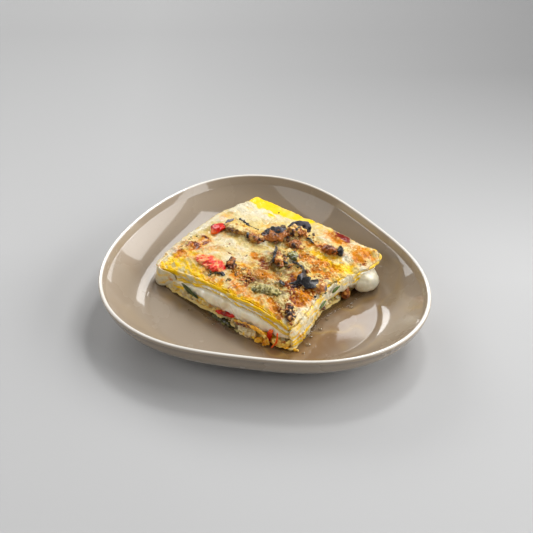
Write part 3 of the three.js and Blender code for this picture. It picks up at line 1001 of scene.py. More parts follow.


# %% [markdown]
# Then its colour, as paints. Gold and toast are how far the cheese has browned, yolk is where yellow
# pasta and oil show through, moss is where a thin film of cheese lies over dark vegetables, milk is
# where sauce has stayed white, and blister is a wine-red patch of baked pepper near the back-right
# edge. Some moss and toast spots are painted shadow, under the long aubergine and in the hollow near
# the front, and gold, yolk and milk also carry painted shade and highlight on the lumps, below. The
# spots were placed one by one, and noise breaks them up. Each is u, v, half length, half width, turn
# and strength.

# %% Spots of colour on the crust
GOLD = [
    (0, -36, 9, 5, 0, 0.35), (30, 15, 10, 4, 0, 0.3), (56, 42, 7, 8, 0, 0.25), (0, -35, 7, 4, 0, 0.9),
    (20, -25, 8, 5, 0, 0.6), (30, 16, 9, 3, 0, 0.4), (-50, -25, 7, 3, -4, 0.4),
    (-58, -36, 7, 5, 0, 0.8), (-50, -25, 10, 4, -4, 1.0), (-48, -15, 7, 5, 0, 0.5),
    (-46, -36, 9, 4, 0, 0.35), (-5, -7, 6, 4, 0, 0.8), (-20, -46, 9, 3, 0, 0.4),
    (3, -28, 12, 5, -28, 0.6), (7, -12, 7, 7, 0, 0.5), (20, -22, 5, 5, 0, 0.9),
    (36, -9, 12, 6, -15, 0.7), (45, -18, 12, 7, -10, 0.9), (53, -22, 6, 9, 10, 1.1),
    (30, 15, 14, 4, -8, 0.9), (45, 10, 12, 4, -8, 0.7), (56, 43, 9, 9, 0, 1.0), (30, 48, 13, 6, 0, 0.9),
    (26, 32, 12, 5, 8, 0.7), (22, -49, 20, 4, 0, 0.5), (48, -46, 10, 4, 0, 0.9),
    (10, -45, 7, 6, 0, 0.8), (-8, -49, 9, 4, 0, 0.6), (13, -26, 6, 7, 0, 0.6), (40, -42, 7, 4, 0, 0.5),
    (-28, 12, 9, 3, 8, 0.6), (-40, 4, 8, 3, 0, 0.4), (-26, -38, 15, 4, 0, 0.3), (4, 21, 7, 4, 0, 0.5),
    (-54, 16, 5, 8, 0, 0.35), (-16, 4, 8, 3, 0, 0.35), (-36, -3, 10, 4, 0, 0.25),
    (-34, -18, 10, 4, 0, 0.3), (16, 30, 6, 3, 0, 0.5), (53, -8, 5, 5, 0, 0.6), (28, -44, 12, 3, 0, 0.4),
    (55, 14, 6, 6, 0, 0.6), (-20, 32, 8, 4, 0, 0.25),
]
TOAST = [
    (34, -13, 6, 3, -20, 0.35), (40, -20, 5, 3, 20, 0.3), (-51, -24, 7, 3, -4, 0.75),
    (-53, -22, 1.8, 1.6, 0, 0.6), (-57, -26, 2.5, 2, 0, 0.5), (-47, -17, 2.4, 2, 0, 0.9),
    (-50, -12.5, 5, 1.3, 8, 0.8), (-61, -37, 3, 3, 0, 0.6), (-58, -33, 3, 3, 0, 0.5),
    (-29, -9, 1.3, 1.3, 0, 0.8), (-31, -13, 1.5, 1.0, 0, 0.7), (-23, -17, 2, 1.4, 0, 1.1),
    (-10, -14, 1.2, 1.8, 0, 0.5), (-4, -8, 3, 2, 0, 0.4), (5, -12, 4.5, 4, -40, 0.8),
    # The spot at 11, -34 is painted shade in the hollow there.
    (9.5, -16, 2.5, 3, 0, 0.8), (11, -34, 3.5, 7, 15, 1.1), (3, -26, 5, 3, -20, 0.6),
    (-2, -30, 3, 2, 0, 0.4), (17, -42, 3, 2.4, 0, 0.4), (30, -11, 5, 3, 0, 0.7),
    (41, -16, 5, 4, -20, 1.0), (47, -12, 4, 4, 0, 0.9), (53, -14, 4, 3, 0, 0.6),
    (55, -25, 2.5, 6, 10, 0.6), (49, -29, 4, 3, 0, 0.6), (44, -25, 4, 3, 0, 0.8),
    (37, -22, 4, 2.4, 0, 0.7), (49, -44, 4, 2.6, 0, 0.9), (57, -36, 2.5, 3, 0, 0.6),
    (42, -40, 3, 3, 0, 0.5), (30, 16, 4, 2.4, 0, 0.7), (22, 13, 3, 3, 0, 0.7), (38, 10, 4, 2, 0, 0.6),
    (45, 18, 3, 2, 0, 0.5), (50, 6, 4, 2.5, 0, 0.7), (36, 3, 8, 2, -10, 0.5), (25, 31, 3, 2, 0, 0.6),
    (31, 33, 6, 3, 10, 0.6), (28, 50, 7, 4, 0, 0.6), (58, 45, 5, 3, 0, 0.5), (62, 38, 2.5, 5, 0, 0.7),
    (50, 45, 2.4, 2, 0, 0.5), (56, 37, 4, 3, 0, 0.4), (-44, 5, 5, 2.5, 0, 0.6),
    (-35, 13, 3, 1.6, 0, 0.6), (-20, 8, 6, 2, 0, 0.5), (11, 22, 6, 4, -20, 0.7),
    (-12, 30, 4, 2, 0, 0.5), (8, 31, 5, 3, 0, 0.6), (7, 3, 5, 6, 0, 0.5), (14, -2, 5, 4, 0, 0.6),
    (9, 14, 3, 2, 0, 0.5), (54, -6, 4, 4, 0, 0.5), (0, -44, 1.5, 1.5, 0, 1.3), (-52, 3, 1.5, 3, 0, 0.3),
    (-13, -40, 3, 3, 0, 0.5), (27, -47, 8, 1.4, 0, 0.3), (8, -49, 5, 2, 0, 0.5),
    (20, -20, 2, 2, 0, 0.5), (-27, 5, 2, 1.2, 0, 0.5), (-23.5, 4.5, 1.2, 1, 0, 0.8),
]
# Olive spots where a thin film of cheese lies over dark vegetables; those under the long aubergine and in the
# hollow near the front are painted shadow.
MOSS_AND_SHADOW = [
    (35, -12, 9, 5, 0, 0.35), (12, -32, 7, 6, 0, 0.35), (40, -24, 7, 4, 0, 0.3),
    (0, -20, 10, 6, 0, 0.25), (18, -20, 12, 8, 0, 0.3), (8, -5, 8, 5, 0, 0.4), (40, -40, 7, 4, 0, 0.4),
    (-28, 3, 15, 3, 4, 0.5), (-12, 12, 8, 4, 20, 0.6), (16, -10, 10, 6, -10, 0.75),
    (25, -5, 9, 4, -10, 0.7), (12, -33, 6, 9, 15, 0.9), (27, -29, 13, 5, 15, 0.55),
    (-15, -46, 8, 3, 0, 0.7), (38, -30, 7, 4, 0, 0.6), (4, 15, 7, 4, 0, 0.5), (20, -38, 5, 5, 0, 0.5),
    (-6, -34, 6, 4, 0, 0.6), (18, 5, 8, 4, 0, 0.5), (-43, 7, 7, 3, 0, 0.6), (50, -38, 7, 6, 0, 0.5),
    (9, -12, 6, 6, 0, 0.35), (-2, 17, 6, 4, 0, 0.5), (33, -20, 8, 5, 0, 0.4), (52, -46, 7, 3, 0, 0.4),
]
YOLK = [
    (44, 11, 9, 4, 0, 0.8), (58, 12, 4, 9, 0, 0.8), (36, 24, 7, 2, 0, 0.7), (20, -53, 30, 3, 0, 0.5),
    (-29, 38, 5, 1.6, -8, 1.3), (53, 23, 9, 3.5, 30, 1.3), (42, 19, 9, 3, 15, 1.1),
    (58, 28, 4, 4, 0, 0.8), (29, 22, 9, 3, 0, 0.8), (22, 27, 9, 2.4, 0, 0.6), (44, 30, 10, 2, 0, 0.6),
    (0, -30, 7, 2.4, -20, 0.9), (-4, -24, 4, 2, 0, 0.7), (-45, -46, 20, 6, -8, 0.95),
    (-53, -44, 6, 8, 0, 0.9), (-25, -51, 22, 4, -4, 1.0), (10, -53, 34, 3, 0, 1.1),
    (44, -51, 18, 2.5, 0, 0.9), (62, -22, 2.4, 30, 0, 0.9), (61, 10, 2.5, 13, 0, 0.9),
    (-52, -53, 10, 4, 0, 0.7), (20, 17, 6, 3, 0, 0.5), (36, 42, 7, 4, 0, 0.5), (-32, 14, 12, 2, 4, 0.5),
    (-48, -31, 10, 3, -10, 0.7), (54, 50, 9, 3, 0, 0.8), (-52, 48, 6, 4, 0, 1.2),
    (-28, 50, 26, 4, 4, 0.5), (-16, 55, 6, 4, 0, 1.0), (20, -43, 8, 3, 0, 0.5), (10, 13, 5, 3, 0, 0.6),
    (-15, 22, 5, 3, 0, 0.3), (0, 56, 10, 3, 0, 0.4), (18, 54, 5, 3, 0, 0.5),
]
MILK = [
    (60, -14, 4, 16, 0, 0.9), (46, 34, 7, 5, 0, 0.8), (58, -46, 4, 6, 0, 1.0), (-55, 10, 7, 6, 0, 0.5),
    (-63, -44, 4, 12, 0, 1.3), (-57, -54, 5, 3, 0, 0.8), (24, 6, 5, 3, 0, 0.5),
    (-46, 35, 17, 9, 0, 1.0), (-25, 42, 14, 6, 0, 0.7), (22, 44, 14, 6, -10, 0.6),
    (-25, -8, 20, 8, 0, 0.4), (-12, -20, 12, 5, 0, 0.6), (26, 58, 38, 2.5, 0, 1.2),
    (-44, -6, 8, 6, 0, 0.4), (-5, 7, 12, 2, -4, 0.8), (46, 52, 6, 3, 0, 0.8), (66, 20, 2.5, 40, 0, 0.7),
    (-63, 0, 3, 40, 0, 0.7), (22, -32, 6, 3, 0, 0.5), (-35, -22, 8, 3, 0, 0.5),
    (30, -48, 14, 2, 0, 0.4), (-22, 26, 8, 4, 0, 0.4),
]
BLISTER = [(32, 52.5, 6, 3, 0, 1.4), (37, 50, 3, 2, 0, 0.7), (24.5, 54.5, 4, 1.5, 0, 0.8)]
print("spots of colour:", sum(map(len, (GOLD, TOAST, MOSS_AND_SHADOW, YOLK, MILK, BLISTER))))

# %% [markdown]
# The noise that lifts the cheese into lumps also colours it: painted shade turns the low places
# golden and yellow, and a painted highlight makes the high ones pale. Near the cut at the
# front-right the cheese has stayed bare of browning.

# %% Paints of the crust


def crust_paints(u, v):
    flat = np.column_stack([u, v, 0 * u])
    warp = np.column_stack([noise(flat, 7, 3, 26), noise(flat, 7, 3, 27)]) * 2.6
    x, y = u + warp[:, 0], v + warp[:, 1]
    broad, middling, fine = noise(flat, 9, 2, 21), noise(flat, 4, 3, 28), noise(flat, 1.7, 2, 22)
    rough, lumps = toasted_zone(u, v), cheese_lumps(u, v)
    streaks = strands(u, v) * (v < -38)
    bare = 0.85 * bell(u, 64, 6.5) * step(v, -50, -44) * (1 - step(v, 30, 38))
    gold = patch(x, y, GOLD) * (0.9 + 0.5 * middling) + 0.08 * rough
    gold += 0.3 * middling * (0.5 + rough)
    gold += 0.1 * fine
    # Painted shade: the hollows between lumps turn golden.
    gold += 0.35 * np.clip(-lumps - 0.2, 0, 1)
    toast = patch(x, y, TOAST) * (0.9 + 0.5 * middling + 0.5 * fine) + 0.12 * rough * middling
    moss = patch(x, y, MOSS_AND_SHADOW) * (0.9 + 0.6 * middling) + 0.12 * broad
    yolk = patch(x, y, YOLK) * (0.8 + 0.5 * middling + 0.9 * streaks) + 0.2 * middling
    yolk += 0.35 * rough * np.clip(noise(flat, 5, 2, 29), 0, 1)
    # Painted shade: the hollows between lumps turn yellow.
    yolk += 0.5 * np.clip(-lumps - 0.08, 0, 1)
    milk = patch(x, y, MILK) + 0.25 * broad + 0.15 * middling
    # Painted highlight: the crests of the lumps turn pale.
    milk += 0.6 * np.clip(lumps, 0, 1)
    milk += 0.7 * bare
    paints = {
        "gold": gold * (1 - bare),
        "toast": toast * (1 - bare),
        "moss": moss * (1 - bare),
        "yolk": yolk * (1 - 0.5 * bare),
        "milk": milk,
        "blister": patch(u, v, BLISTER) * (0.9 + 0.5 * middling),
    }
    return {name: np.clip(paint, 0, 1.3) for name, paint in paints.items()}


for name, values in crust_paints(*np.mgrid[-60:60:9, -50:50:9].reshape(2, -1)).items():
    print(name, "covers", (values > 0.5).mean().round(2), "of the crust")

# %% [markdown]
# The finish lays one colour over another, each where its paint is strong, and the fine fleck breaks
# up the borders. The brown comes last but one, in two strengths, as it does in the oven.

# %% Finish of the crust
# Paint, how far the fleck breaks it up, where it starts, where it is full, its share and colour.
BROWNING = [
    ("milk", 0.4, 0.1, 0.8, 1, (222, 212, 182)),
    ("yolk", 0.7, 0.1, 0.9, 1, (248, 200, 4)),
    ("gold", 0.9, 0.12, 0.75, 1, (214, 130, 4)),
    ("moss", 0.8, 0.15, 0.95, 0.9, (88, 64, 12)),
    ("toast", 0.9, 0.2, 0.65, 1, (138, 60, 2)),
    ("toast", 0.9, 0.65, 1.15, 1, (48, 20, 8)),
    ("blister", 0.6, 0.15, 0.7, 1, (122, 18, 4)),
]
crust_finish = Finish("browned cheese")
fleck = crust_finish.grain(1.3, 4, 0.65) - 0.5
cloud = crust_finish.grain(4.5, 3)
crust_colour = crust_finish.blend(cloud.above(0.35, 0.7), shade(220, 202, 140), shade(212, 180, 98))
covers = {}
for paint, broken, start, full, share, colour in BROWNING:
    covers[paint] = (crust_finish.paint(paint) + broken * fleck).above(start, full)
    cover = covers[paint] * share if share < 1 else covers[paint]
    crust_colour = crust_finish.blend(cover, crust_colour, shade(*colour))
crust_finish.surface(
    base_color=crust_colour,
    roughness=(0.34 + 0.3 * crust_finish.grain(2.4, 3) - 0.2 * covers["yolk"]).clamp(),
    normal=crust_finish.bump(fleck, 0.65, crust_finish.bump(cloud, 0.6)),
    specular_ior_level=0.08,
    subsurface_weight=0.04,
    subsurface_radius=(1.0, 0.8, 0.4),
    subsurface_scale=1.5 * MM,
    coat_weight=0.34,
    coat_roughness=0.05,
)
print(crust_finish.material.name, "has", len(crust_finish.nodes), "nodes")

# %% [markdown]
# The sheet itself starts with the grid. Along the back half of the back-right side the crust stops
# 6.5 millimetres short and sinks, so that the top sheet of pasta is bare there.

# %% Grid of the crust


def bare_strip(s):
    """Where along the back-right side the pasta is bare."""
    return step(-s, -0.04, 0.12)


CRUST_REACH = {
    "front_left": -0.6,
    "front_right": -0.8,
    "back_left": 0.2,
    "back_right": lambda s: -0.6 - 6.5 * bare_strip(s),
}
GRID_U, GRID_V = 250, 222


def crust_edge(angle):
    s, t = square(angle)
    rim_place = to_plate(s * HALF_LENGTH, t * HALF_WIDTH, 0)
    ragged = 1.1 * noise(rim_place, 11, 2, 41) + 0.8 * noise(rim_place, 3.5, 2, 42)
    return edge_share(angle, 1.0, CRUST_REACH) + ragged / HALF_LENGTH


def crust_grid():
    """Places of the grid's points, row by row, and their heights."""
    a, b = np.meshgrid(np.linspace(-1, 1, GRID_U), np.linspace(-1, 1, GRID_V), indexing="ij")
    a, b = a.ravel(), b.ravel()
    share = np.maximum(np.abs(a), np.abs(b))
    angle = np.arctan2(b, a)
    s, t = square(angle)
    full = crust_edge(angle)
    outer = share * full
    u, v = outer * s * HALF_LENGTH, outer * t * HALF_WIDTH
    height = straight_out(crust_top, angle, outer) + relief(u, v)
    height -= 0.9 * step(share, 0.955, 1.0) ** 2
    height -= 2.0 * step(t * share, 0.84, 1.0) * bare_strip(s)
    return u, v, height


def boundary():
    """The grid's border, in order round the slice."""
    last_u, last_v = GRID_U - 1, GRID_V - 1
    front = [i * GRID_V for i in range(last_u)]
    right = [last_u * GRID_V + j for j in range(last_v)]
    back = [i * GRID_V + last_v for i in range(last_u, 0, -1)]
    left = [j for j in range(last_v, 0, -1)]
    return np.array(front + right + back + left)


u, v, height = crust_grid()
border = boundary()
print("the crust's grid has", len(u), "points,", len(border), "of them on its border")

# %% [markdown]
# Then a skirt that rounds over the edge and hangs down in small drips, and last a plain underside
# that nobody sees, which ends in one point. Each ring is joined to the one before it.

# %% Build the crust
# The skirt's rings: share of the way down a drip, and millimetres out from the border.
SKIRT = [(0.25, 0.25), (0.55, 0.25), (0.85, 0.0), (1.0, -0.45), (0.95, -1.2)]
UNDERSIDE = [0.8, 0.4]


def under_crust(u, v):
    return u, v, layer_base(CRUST, u, v) + 0.2


rim_u, rim_v, rim_height = u[border], v[border], height[border]
rim_flat = np.column_stack([rim_u, rim_v, 0 * rim_u])
hang = 1.7 + 1.6 * np.clip(noise(rim_flat, 7, 2, 43) + 0.1, 0, 1) + 0.5 * noise(rim_flat, 2.5, 1, 44)
grown = [(1 + out / np.hypot(rim_u, rim_v), rim_height - fall * hang) for fall, out in SKIRT]
rings = [(rim_u * share, rim_v * share, low) for share, low in grown]
rings += [under_crust(share * rim_u, share * rim_v) for share in UNDERSIDE]
rings.append(under_crust(np.zeros(1), np.zeros(1)))

i, j = np.meshgrid(np.arange(GRID_U - 1), np.arange(GRID_V - 1), indexing="ij")
corner = (i * GRID_V + j).ravel()
faces = np.column_stack([corner, corner + GRID_V, corner + GRID_V + 1, corner + 1]).tolist()
ring, base = border, len(u)
for _ in SKIRT + UNDERSIDE:
    lower = base + np.arange(len(border))
    faces += np.column_stack([np.roll(ring, -1), np.roll(lower, -1), lower, ring]).tolist()
    ring, base = lower, base + len(border)
faces += np.column_stack([ring, np.roll(ring, -1), np.full(len(ring), base)]).tolist()
u, v, height = (np.concatenate(parts) for parts in zip((u, v, height), *rings))
crust_object = make_object("cheese_crust", to_plate(u, v, height), faces, crust_paints(u, v))
finish_piece(crust_object, crust_finish.material, "gratin", "gratin_crust")


def crust_height(u, v):
    """Height of the finished crust at one place."""
    u, v = np.atleast_1d(np.asarray(u, float)), np.atleast_1d(np.asarray(v, float))
    return crust_top(u, v) + relief(u, v)


# %% [markdown]
# ## Pieces of roast vegetable
#
# Every piece on the crust and at the cut sides is a sweep: a section that travels along a path and
# changes its width, depth and roll on the way. With wide rough sections that gives chunks of
# aubergine, and with thin ones it gives torn skins. Places are (u, v) on the slice, and a piece on
# the crust gives how high its middle line is above the cheese.

# %% Sweep a section along a path


def spread(values, q):
    """One number all along a path, or several numbers along it."""
    return along(values, q) if np.ndim(values) else np.full(len(q), float(values))


def sweep(path, width, depth, roll=0, rough=0.0, size=4.0, seed=0, rows=56, around=32, blunt=6, folds=1):
    """Points, faces, and the three places from -1 to 1 along, across and up the piece.

    Rough is how far its bumps stand out, size how wide they are, and folds how far they are drawn
    out upwards. Blunt is how suddenly the ends close.
    """
    q = np.linspace(-1, 1, rows)
    middle = np.column_stack([along(values, q) for values in zip(*path)])
    heading = np.gradient(middle, axis=0)
    heading /= np.linalg.norm(heading, axis=1)[:, None]
    side = np.cross(heading, [0, 0, 1.0])
    side /= np.linalg.norm(side, axis=1)[:, None]
    lift = np.cross(side, heading)
    turn = np.radians(spread(roll, q))[:, None]
    side, lift = side * np.cos(turn) + lift * np.sin(turn), lift * np.cos(turn) - side * np.sin(turn)
    close = np.sqrt(np.maximum(1 - np.abs(q) ** blunt, 0.0004))
    angle = np.linspace(0, 2 * pi, around, endpoint=False)
    x, y = (np.sign(wave) * np.abs(wave) ** 0.8 for wave in (np.cos(angle), np.sin(angle)))
    half_width = (0.5 * spread(width, q) * close)[:, None, None]
    half_depth = (0.5 * spread(depth, q) * close)[:, None, None]
    offset = side[:, None] * half_width * x[None, :, None] + lift[:, None] * half_depth * y[None, :, None]
    points = (middle[:, None] + offset).reshape(-1, 3)
    outward = offset.reshape(-1, 3)
    outward /= np.linalg.norm(outward, axis=1)[:, None] + 1e-6
    spots = points / [1, 1, folds]
    bumps = noise(spots, size, 2, seed) + 0.22 * noise(spots, size / 3, 2, seed + 1)
    bumps += 1.3 * (crests(spots, 1.4 * size, 2, seed + 2) - 0.5)
    amount = rough * bumps * np.repeat(close, around)
    points = points + outward * amount[:, None]
    points, faces = loft(list(points.reshape(rows, around, 3)))
    lengthwise = np.append(np.repeat(q, around), [-1, 1])
    crosswise = np.append(np.tile(x, rows), [0, 0])
    upward = np.append(np.tile(y, rows), [0, 0])
    return points, faces, lengthwise, crosswise, upward


trial_shape = sweep([(0, 0, 0), (10, 0, 0)], 4, 2)
print("a plain sweep has", len(trial_shape[0]), "points")

# %% [markdown]
# A piece on the crust follows its relief. The last two helpers place a sweep, paint it and hand it
# over, so that each piece below is one call that names its numbers.

# %% Place a piece
LEAN = np.array([0.82, -0.98])


def on_crust(path):
    """Turns heights above the cheese into heights above the table.

    A piece that stands proud is seen further back than it is, so it moves forward by its height.
    """
    placed = []
    for u, v, rise in path:
        proud = rise + float(relief(np.array([u]), np.array([v]))[0])
        u, v = np.array([u, v]) + LEAN * proud
        placed.append((u, v, float(crust_height(u, v)[0]) + rise))
    return placed


def add_piece(name, shape, material, slot, *nodes, burn=0.0, tint=0.0):
    """Burn and tint are numbers, or functions of the piece's points and its three places."""
    points, faces, *places = shape
    paints = {}
    for paint, value in {"burn": burn, "tint": tint}.items():
        paints[paint] = value(points, *places) if callable(value) else value
    finish_piece(make_object(name, to_plate(*points.T), faces, paints), material, slot, *nodes)


def place_piece(name, material, slot, *nodes, path, burn=0.0, tint=0.0, **section):
    """A sweep as a finished piece. Section holds what sweep asks for, by name."""
    add_piece(name, sweep(path, **section), material, slot, *nodes, burn=burn, tint=tint)


def on_cheese(name, material, slot, *nodes, path, **rest):
    """A piece whose path gives heights above the cheese."""
    place_piece(name, material, slot, *nodes, path=on_crust(path), **rest)


def mottled(size, seed, level=0.0, amount=1.0):
    """A paint that wanders by noise."""
    return lambda p, a, b, c: np.clip(level + amount * noise(p, size, 2, seed), 0, 1)


print("a piece at the middle stands at", np.round(on_crust([(0, 0, 0)])[0], 1))

# %% [markdown]
# All these pieces share one recipe for their material. The flesh wanders between two tones, tint
# brings in a third, such as a skin or a film of cheese, and burn takes it to the colour of char.
# Roast food is wet, so a thin coat gives small sharp glints over the rough body.

# %% Recipe for roast pieces


def roast(name, light, dark, tinted, burnt, wet=0.5, grain=2.2, depth=0.5, rough=0.3):
    finish = Finish(name)
    tone = finish.grain(grain, 4)
    colour = finish.blend(tone.above(0.35, 0.68), shade(*light), shade(*dark))
    patchy = finish.grain(1.5, 3)
    tinted_share = (finish.paint("tint") + 0.5 * (patchy - 0.5)).above(0.25, 0.75)
    colour = finish.blend(tinted_share, colour, shade(*tinted))
    burnt_share = (finish.paint("burn") + 0.6 * (finish.grain(1.8, 3) - 0.5)).above(0.2, 0.8)
    colour = finish.blend(burnt_share, colour, shade(*burnt))
    fine = finish.bump(finish.grain(0.8, 3), 0.2)
    finish.surface(
        base_color=colour,
        roughness=rough + 0.25 * finish.grain(1.2, 2),
        normal=finish.bump(tone, depth, fine),
        specular_ior_level=0.3,
        coat_weight=wet,
        coat_roughness=0.07,
    )
    print("finish:", name)
    return finish.material


aubergine = roast("roast aubergine", (222, 176, 90), (176, 112, 36), (232, 204, 136), (84, 44, 16), depth=0.7)
flesh_tones = (200, 122, 44), (134, 68, 18), (234, 192, 104), (50, 23, 10)
browned_flesh = roast("browned flesh", *flesh_tones, depth=0.8)
skin = roast("charred skin", (22, 19, 20), (9, 8, 8), (88, 84, 92), (6, 5, 5), 0.45, 2.5, 0.3, 0.28)
pepper = roast("roast pepper", (224, 30, 0), (186, 12, 0), (244, 104, 0), (28, 12, 8), 0.3, 4, 0.25, 0.2)
tomato = roast("baked tomato", (232, 58, 12), (218, 24, 0), (240, 150, 84), (70, 20, 8), 0.3, 2.4, 0.6, 0.25)
courgette = roast("baked courgette", (200, 184, 116), (138, 130, 70), (92, 92, 42), (84, 58, 18), depth=0.9)
olive = roast("olive", (84, 84, 28), (48, 50, 14), (150, 146, 80), (20, 20, 8), 0.9, 3, 0.2, 0.15)
mushroom = roast("roast mushroom", (170, 92, 30), (108, 54, 16), (212, 148, 70), (30, 15, 9), depth=0.7)
leaf = roast("cooked leaf", (58, 84, 14), (28, 48, 8), (110, 130, 50), (18, 24, 6), 0.7, 3, 0.3, 0.22)
golden_pasta = roast("golden pasta", (246, 190, 40), (224, 140, 20), (248, 222, 120), (150, 80, 20), 0.5, 4)
chunk_tones = (240, 226, 184), (216, 184, 112), (240, 192, 52), (120, 66, 24)
cream_chunk = roast("creamy chunk", *chunk_tones, 0.6, depth=0.6)
crumb = roast("baked crumbs", (226, 168, 62), (190, 112, 26), (238, 216, 150), (76, 34, 10), 0.3, depth=0.4)

# %% [markdown]
# ## On the crust
#
# The pieces follow, from left to right. Aubergine is the most common: its flesh browns, while its
# skin goes black or a dull blue grey and curls away. On the skin in the middle the grey tint at its
# top end, and on the black skin at the right the grey-blue tint on its left face, are painted
# highlights. Paints are functions of p, the piece's points, and of a, b and c, the places along it,
# across it and up it.

# %% Pieces on the left half
on_cheese(
    "red_pepper", pepper, "red_pepper", "red_pepper_piece",
    path=[(-50, -7, 0.2), (-50.5, -3, 1.4), (-50.8, 1, 1.8), (-51, 4, 1.6), (-51.5, 7, 0.4)],
    width=[3, 8.5, 11, 10, 5], depth=[2, 3.4, 4, 3.6, 2], roll=12, rough=0.5, size=5, seed=70,
    burn=lambda p, a, b, c: step(-b, 0.42, 0.8) * step(a, -0.5, 0.1),
    tint=lambda p, a, b, c: 0.8 * step(-a, 0.1, 0.8),
)
on_cheese(
    "tomato", tomato, "tomato", "tomato_piece",
    path=[(-41, -35, 0), (-34, -33.5, 0.4), (-25, -34.5, 0.6), (-16, -36.5, 0.6), (-10.5, -38.5, 0)],
    width=[5, 10, 12, 11, 5], depth=[2, 3.2, 3.4, 3.4, 2], rough=1.0, size=3, seed=72, rows=80, around=40,
    tint=lambda p, a, b, c: np.clip(0.52 - 0.55 * a + 1.3 * noise(p, 4, 2, 73), 0, 1),
)
on_cheese(
    "tomato_skin", skin, "aubergine_skin",
    path=[(-10.5, -38.5, 0.8), (-8.5, -40.5, 1.2), (-6.5, -43.5, 0.3)],
    width=[2, 4, 2], depth=1.2, roll=30, rough=0.5, size=2, seed=74, rows=24, around=16,
)
on_cheese(
    "dark_cube", browned_flesh, "mushroom", "charred_cube",
    path=[(-16.5, -22, 0), (-13.5, -25, 0.8), (-10.5, -28, 1.2), (-6, -31, 0.2)],
    width=[1.5, 5, 6.5, 2.5], depth=[1.5, 4, 5, 2], rough=1.2, size=3, seed=75,
    burn=mottled(4, 76, 0.5),
)
on_cheese(
    "long_aubergine", aubergine, "aubergine_flesh", "aubergine_slice",
    path=[(-49, 8, 0), (-43, 8.5, 1.0), (-36, 10, 1.4), (-29, 11, 1.2), (-22, 11, 0.2)],
    width=[5, 7.5, 7, 6, 3], depth=[2.5, 4, 4.4, 4, 2], rough=1.2, size=3.6, seed=77, rows=80, around=36,
    burn=lambda p, a, b, c: np.clip(
        step(b, 0.2, 0.9) * (0.5 - 0.4 * a) + 0.8 * noise(p, 5, 2, 78) - 0.1, 0, 1
    ),
    tint=lambda p, a, b, c: np.clip(0.75 + 0.9 * noise(p, 6, 2, 79) - 0.5 * step(b, 0.3, 1), 0, 1),
)
on_cheese(
    "skin_line", skin, "aubergine_skin",
    path=[(-45, 20.2, 0.3), (-39, 19.3, 0.3), (-32, 18.2, 0.1), (-24, 18.6, 0.4)],
    width=1.3, depth=1.1, rough=0.8, size=3, seed=80, rows=70, around=14, tint=0.35,
)
on_cheese(
    "skin_end", skin, "aubergine_skin",
    path=[(-48, 17.5, 0.2), (-49.5, 13.5, 0.8), (-49.5, 9.5, 0.3)],
    width=[1.5, 2.6, 1.5], depth=1.2, roll=20, rough=0.4, size=3, seed=81, rows=30, around=14, tint=0.9,
)
on_cheese(
    "short_aubergine", browned_flesh, "aubergine_flesh", "aubergine_end",
    path=[(-25.5, 9, 0.4), (-21, 10.6, 1.2), (-16, 10.6, 1.2), (-11, 10, 0)],
    width=[4, 5.5, 6, 3], depth=[3, 4.4, 4.6, 2], rough=1.0, size=3, seed=82,
    burn=mottled(4, 83, 0.1), tint=mottled(5, 183, 0.2),
)
on_cheese(
    "dark_knob", skin, "aubergine_skin",
    path=[(-29, 11, 0.4), (-26.5, 9, 1.4), (-24, 6, 0.2)],
    width=[1.5, 2.8, 1.6], depth=2.4, rough=0.4, size=3, seed=84, rows=24, around=16,
)
on_cheese(
    "aubergine_chunk", browned_flesh, "aubergine_flesh", "aubergine_wedge",
    path=[(-19, 16, 0), (-14.5, 19.5, 2.0), (-9.5, 23, 2.8), (-5, 27, 2.4), (-2, 30.5, 0.8)],
    width=[4, 8.5, 10, 8, 4], depth=[2, 4, 4.4, 4, 2], roll=-18, rough=1.2, size=4.6, seed=85,
    rows=110, around=60,
    burn=lambda p, a, b, c: np.clip(0.3 - 0.4 * b + 1.3 * noise(p, 5, 2, 86) - 0.3 * a, 0, 1),
)
on_cheese(
    "chunk_skin", skin, "aubergine_skin",
    path=[(-18.5, 18, 1.5), (-14, 23.5, 4.2), (-9.5, 28, 4.8), (-6, 31, 2.5)],
    width=[3, 5.5, 5, 2.5], depth=0.9, roll=[-20, -45, -40, -20], rough=0.7, size=4, seed=87,
    rows=50, around=20, tint=mottled(3.5, 88, 0.45, 0.9),
)

# %% [markdown]
# In the middle a piece of aubergine has curled up and shows its charred skin, with an olive and a
# darker scrap in front of it.

# %% Pieces in the middle
on_cheese(
    "aubergine_curl_flesh", browned_flesh, "aubergine_flesh", "aubergine_curl",
    path=[(-6, 25, 0.8), (-3.5, 30, 2.2), (0, 35, 3.6), (4.5, 37, 3.4), (11, 33.5, 0.6)],
    width=[4, 7, 8, 7, 3], depth=[2.6, 5, 6, 5, 2.2], rough=1.2, size=4.4, seed=89, rows=110, around=60,
    burn=lambda p, a, b, c: np.clip(0.05 + 1.6 * noise(p * [1, 1, 0.3], 3.8, 2, 90), 0, 1),
    tint=mottled(3.6, 91, 0.35, 1.2),
)
on_cheese(
    "curl_skin", skin, "aubergine_skin",
    path=[(-7.5, 33, 2.5), (-6, 39, 5.2), (-1.5, 44, 6.6), (3, 44.5, 6.2), (7.5, 41, 3.0)],
    width=[2.5, 5, 6.5, 6, 3], depth=0.9, roll=[-10, -25, -30, -30, -20], rough=0.5, size=5, seed=92,
    rows=70, around=28, tint=mottled(3.5, 93, 0.65, 0.9),
)
on_cheese(
    "curl_tail", skin, "aubergine_skin",
    path=[(11, 34, 0.8), (15, 33.2, 1.0), (19.5, 31.5, 0.3)],
    width=[2.5, 1.8, 1.2], depth=1.2, rough=0.5, size=3, seed=94, rows=30, around=14,
)
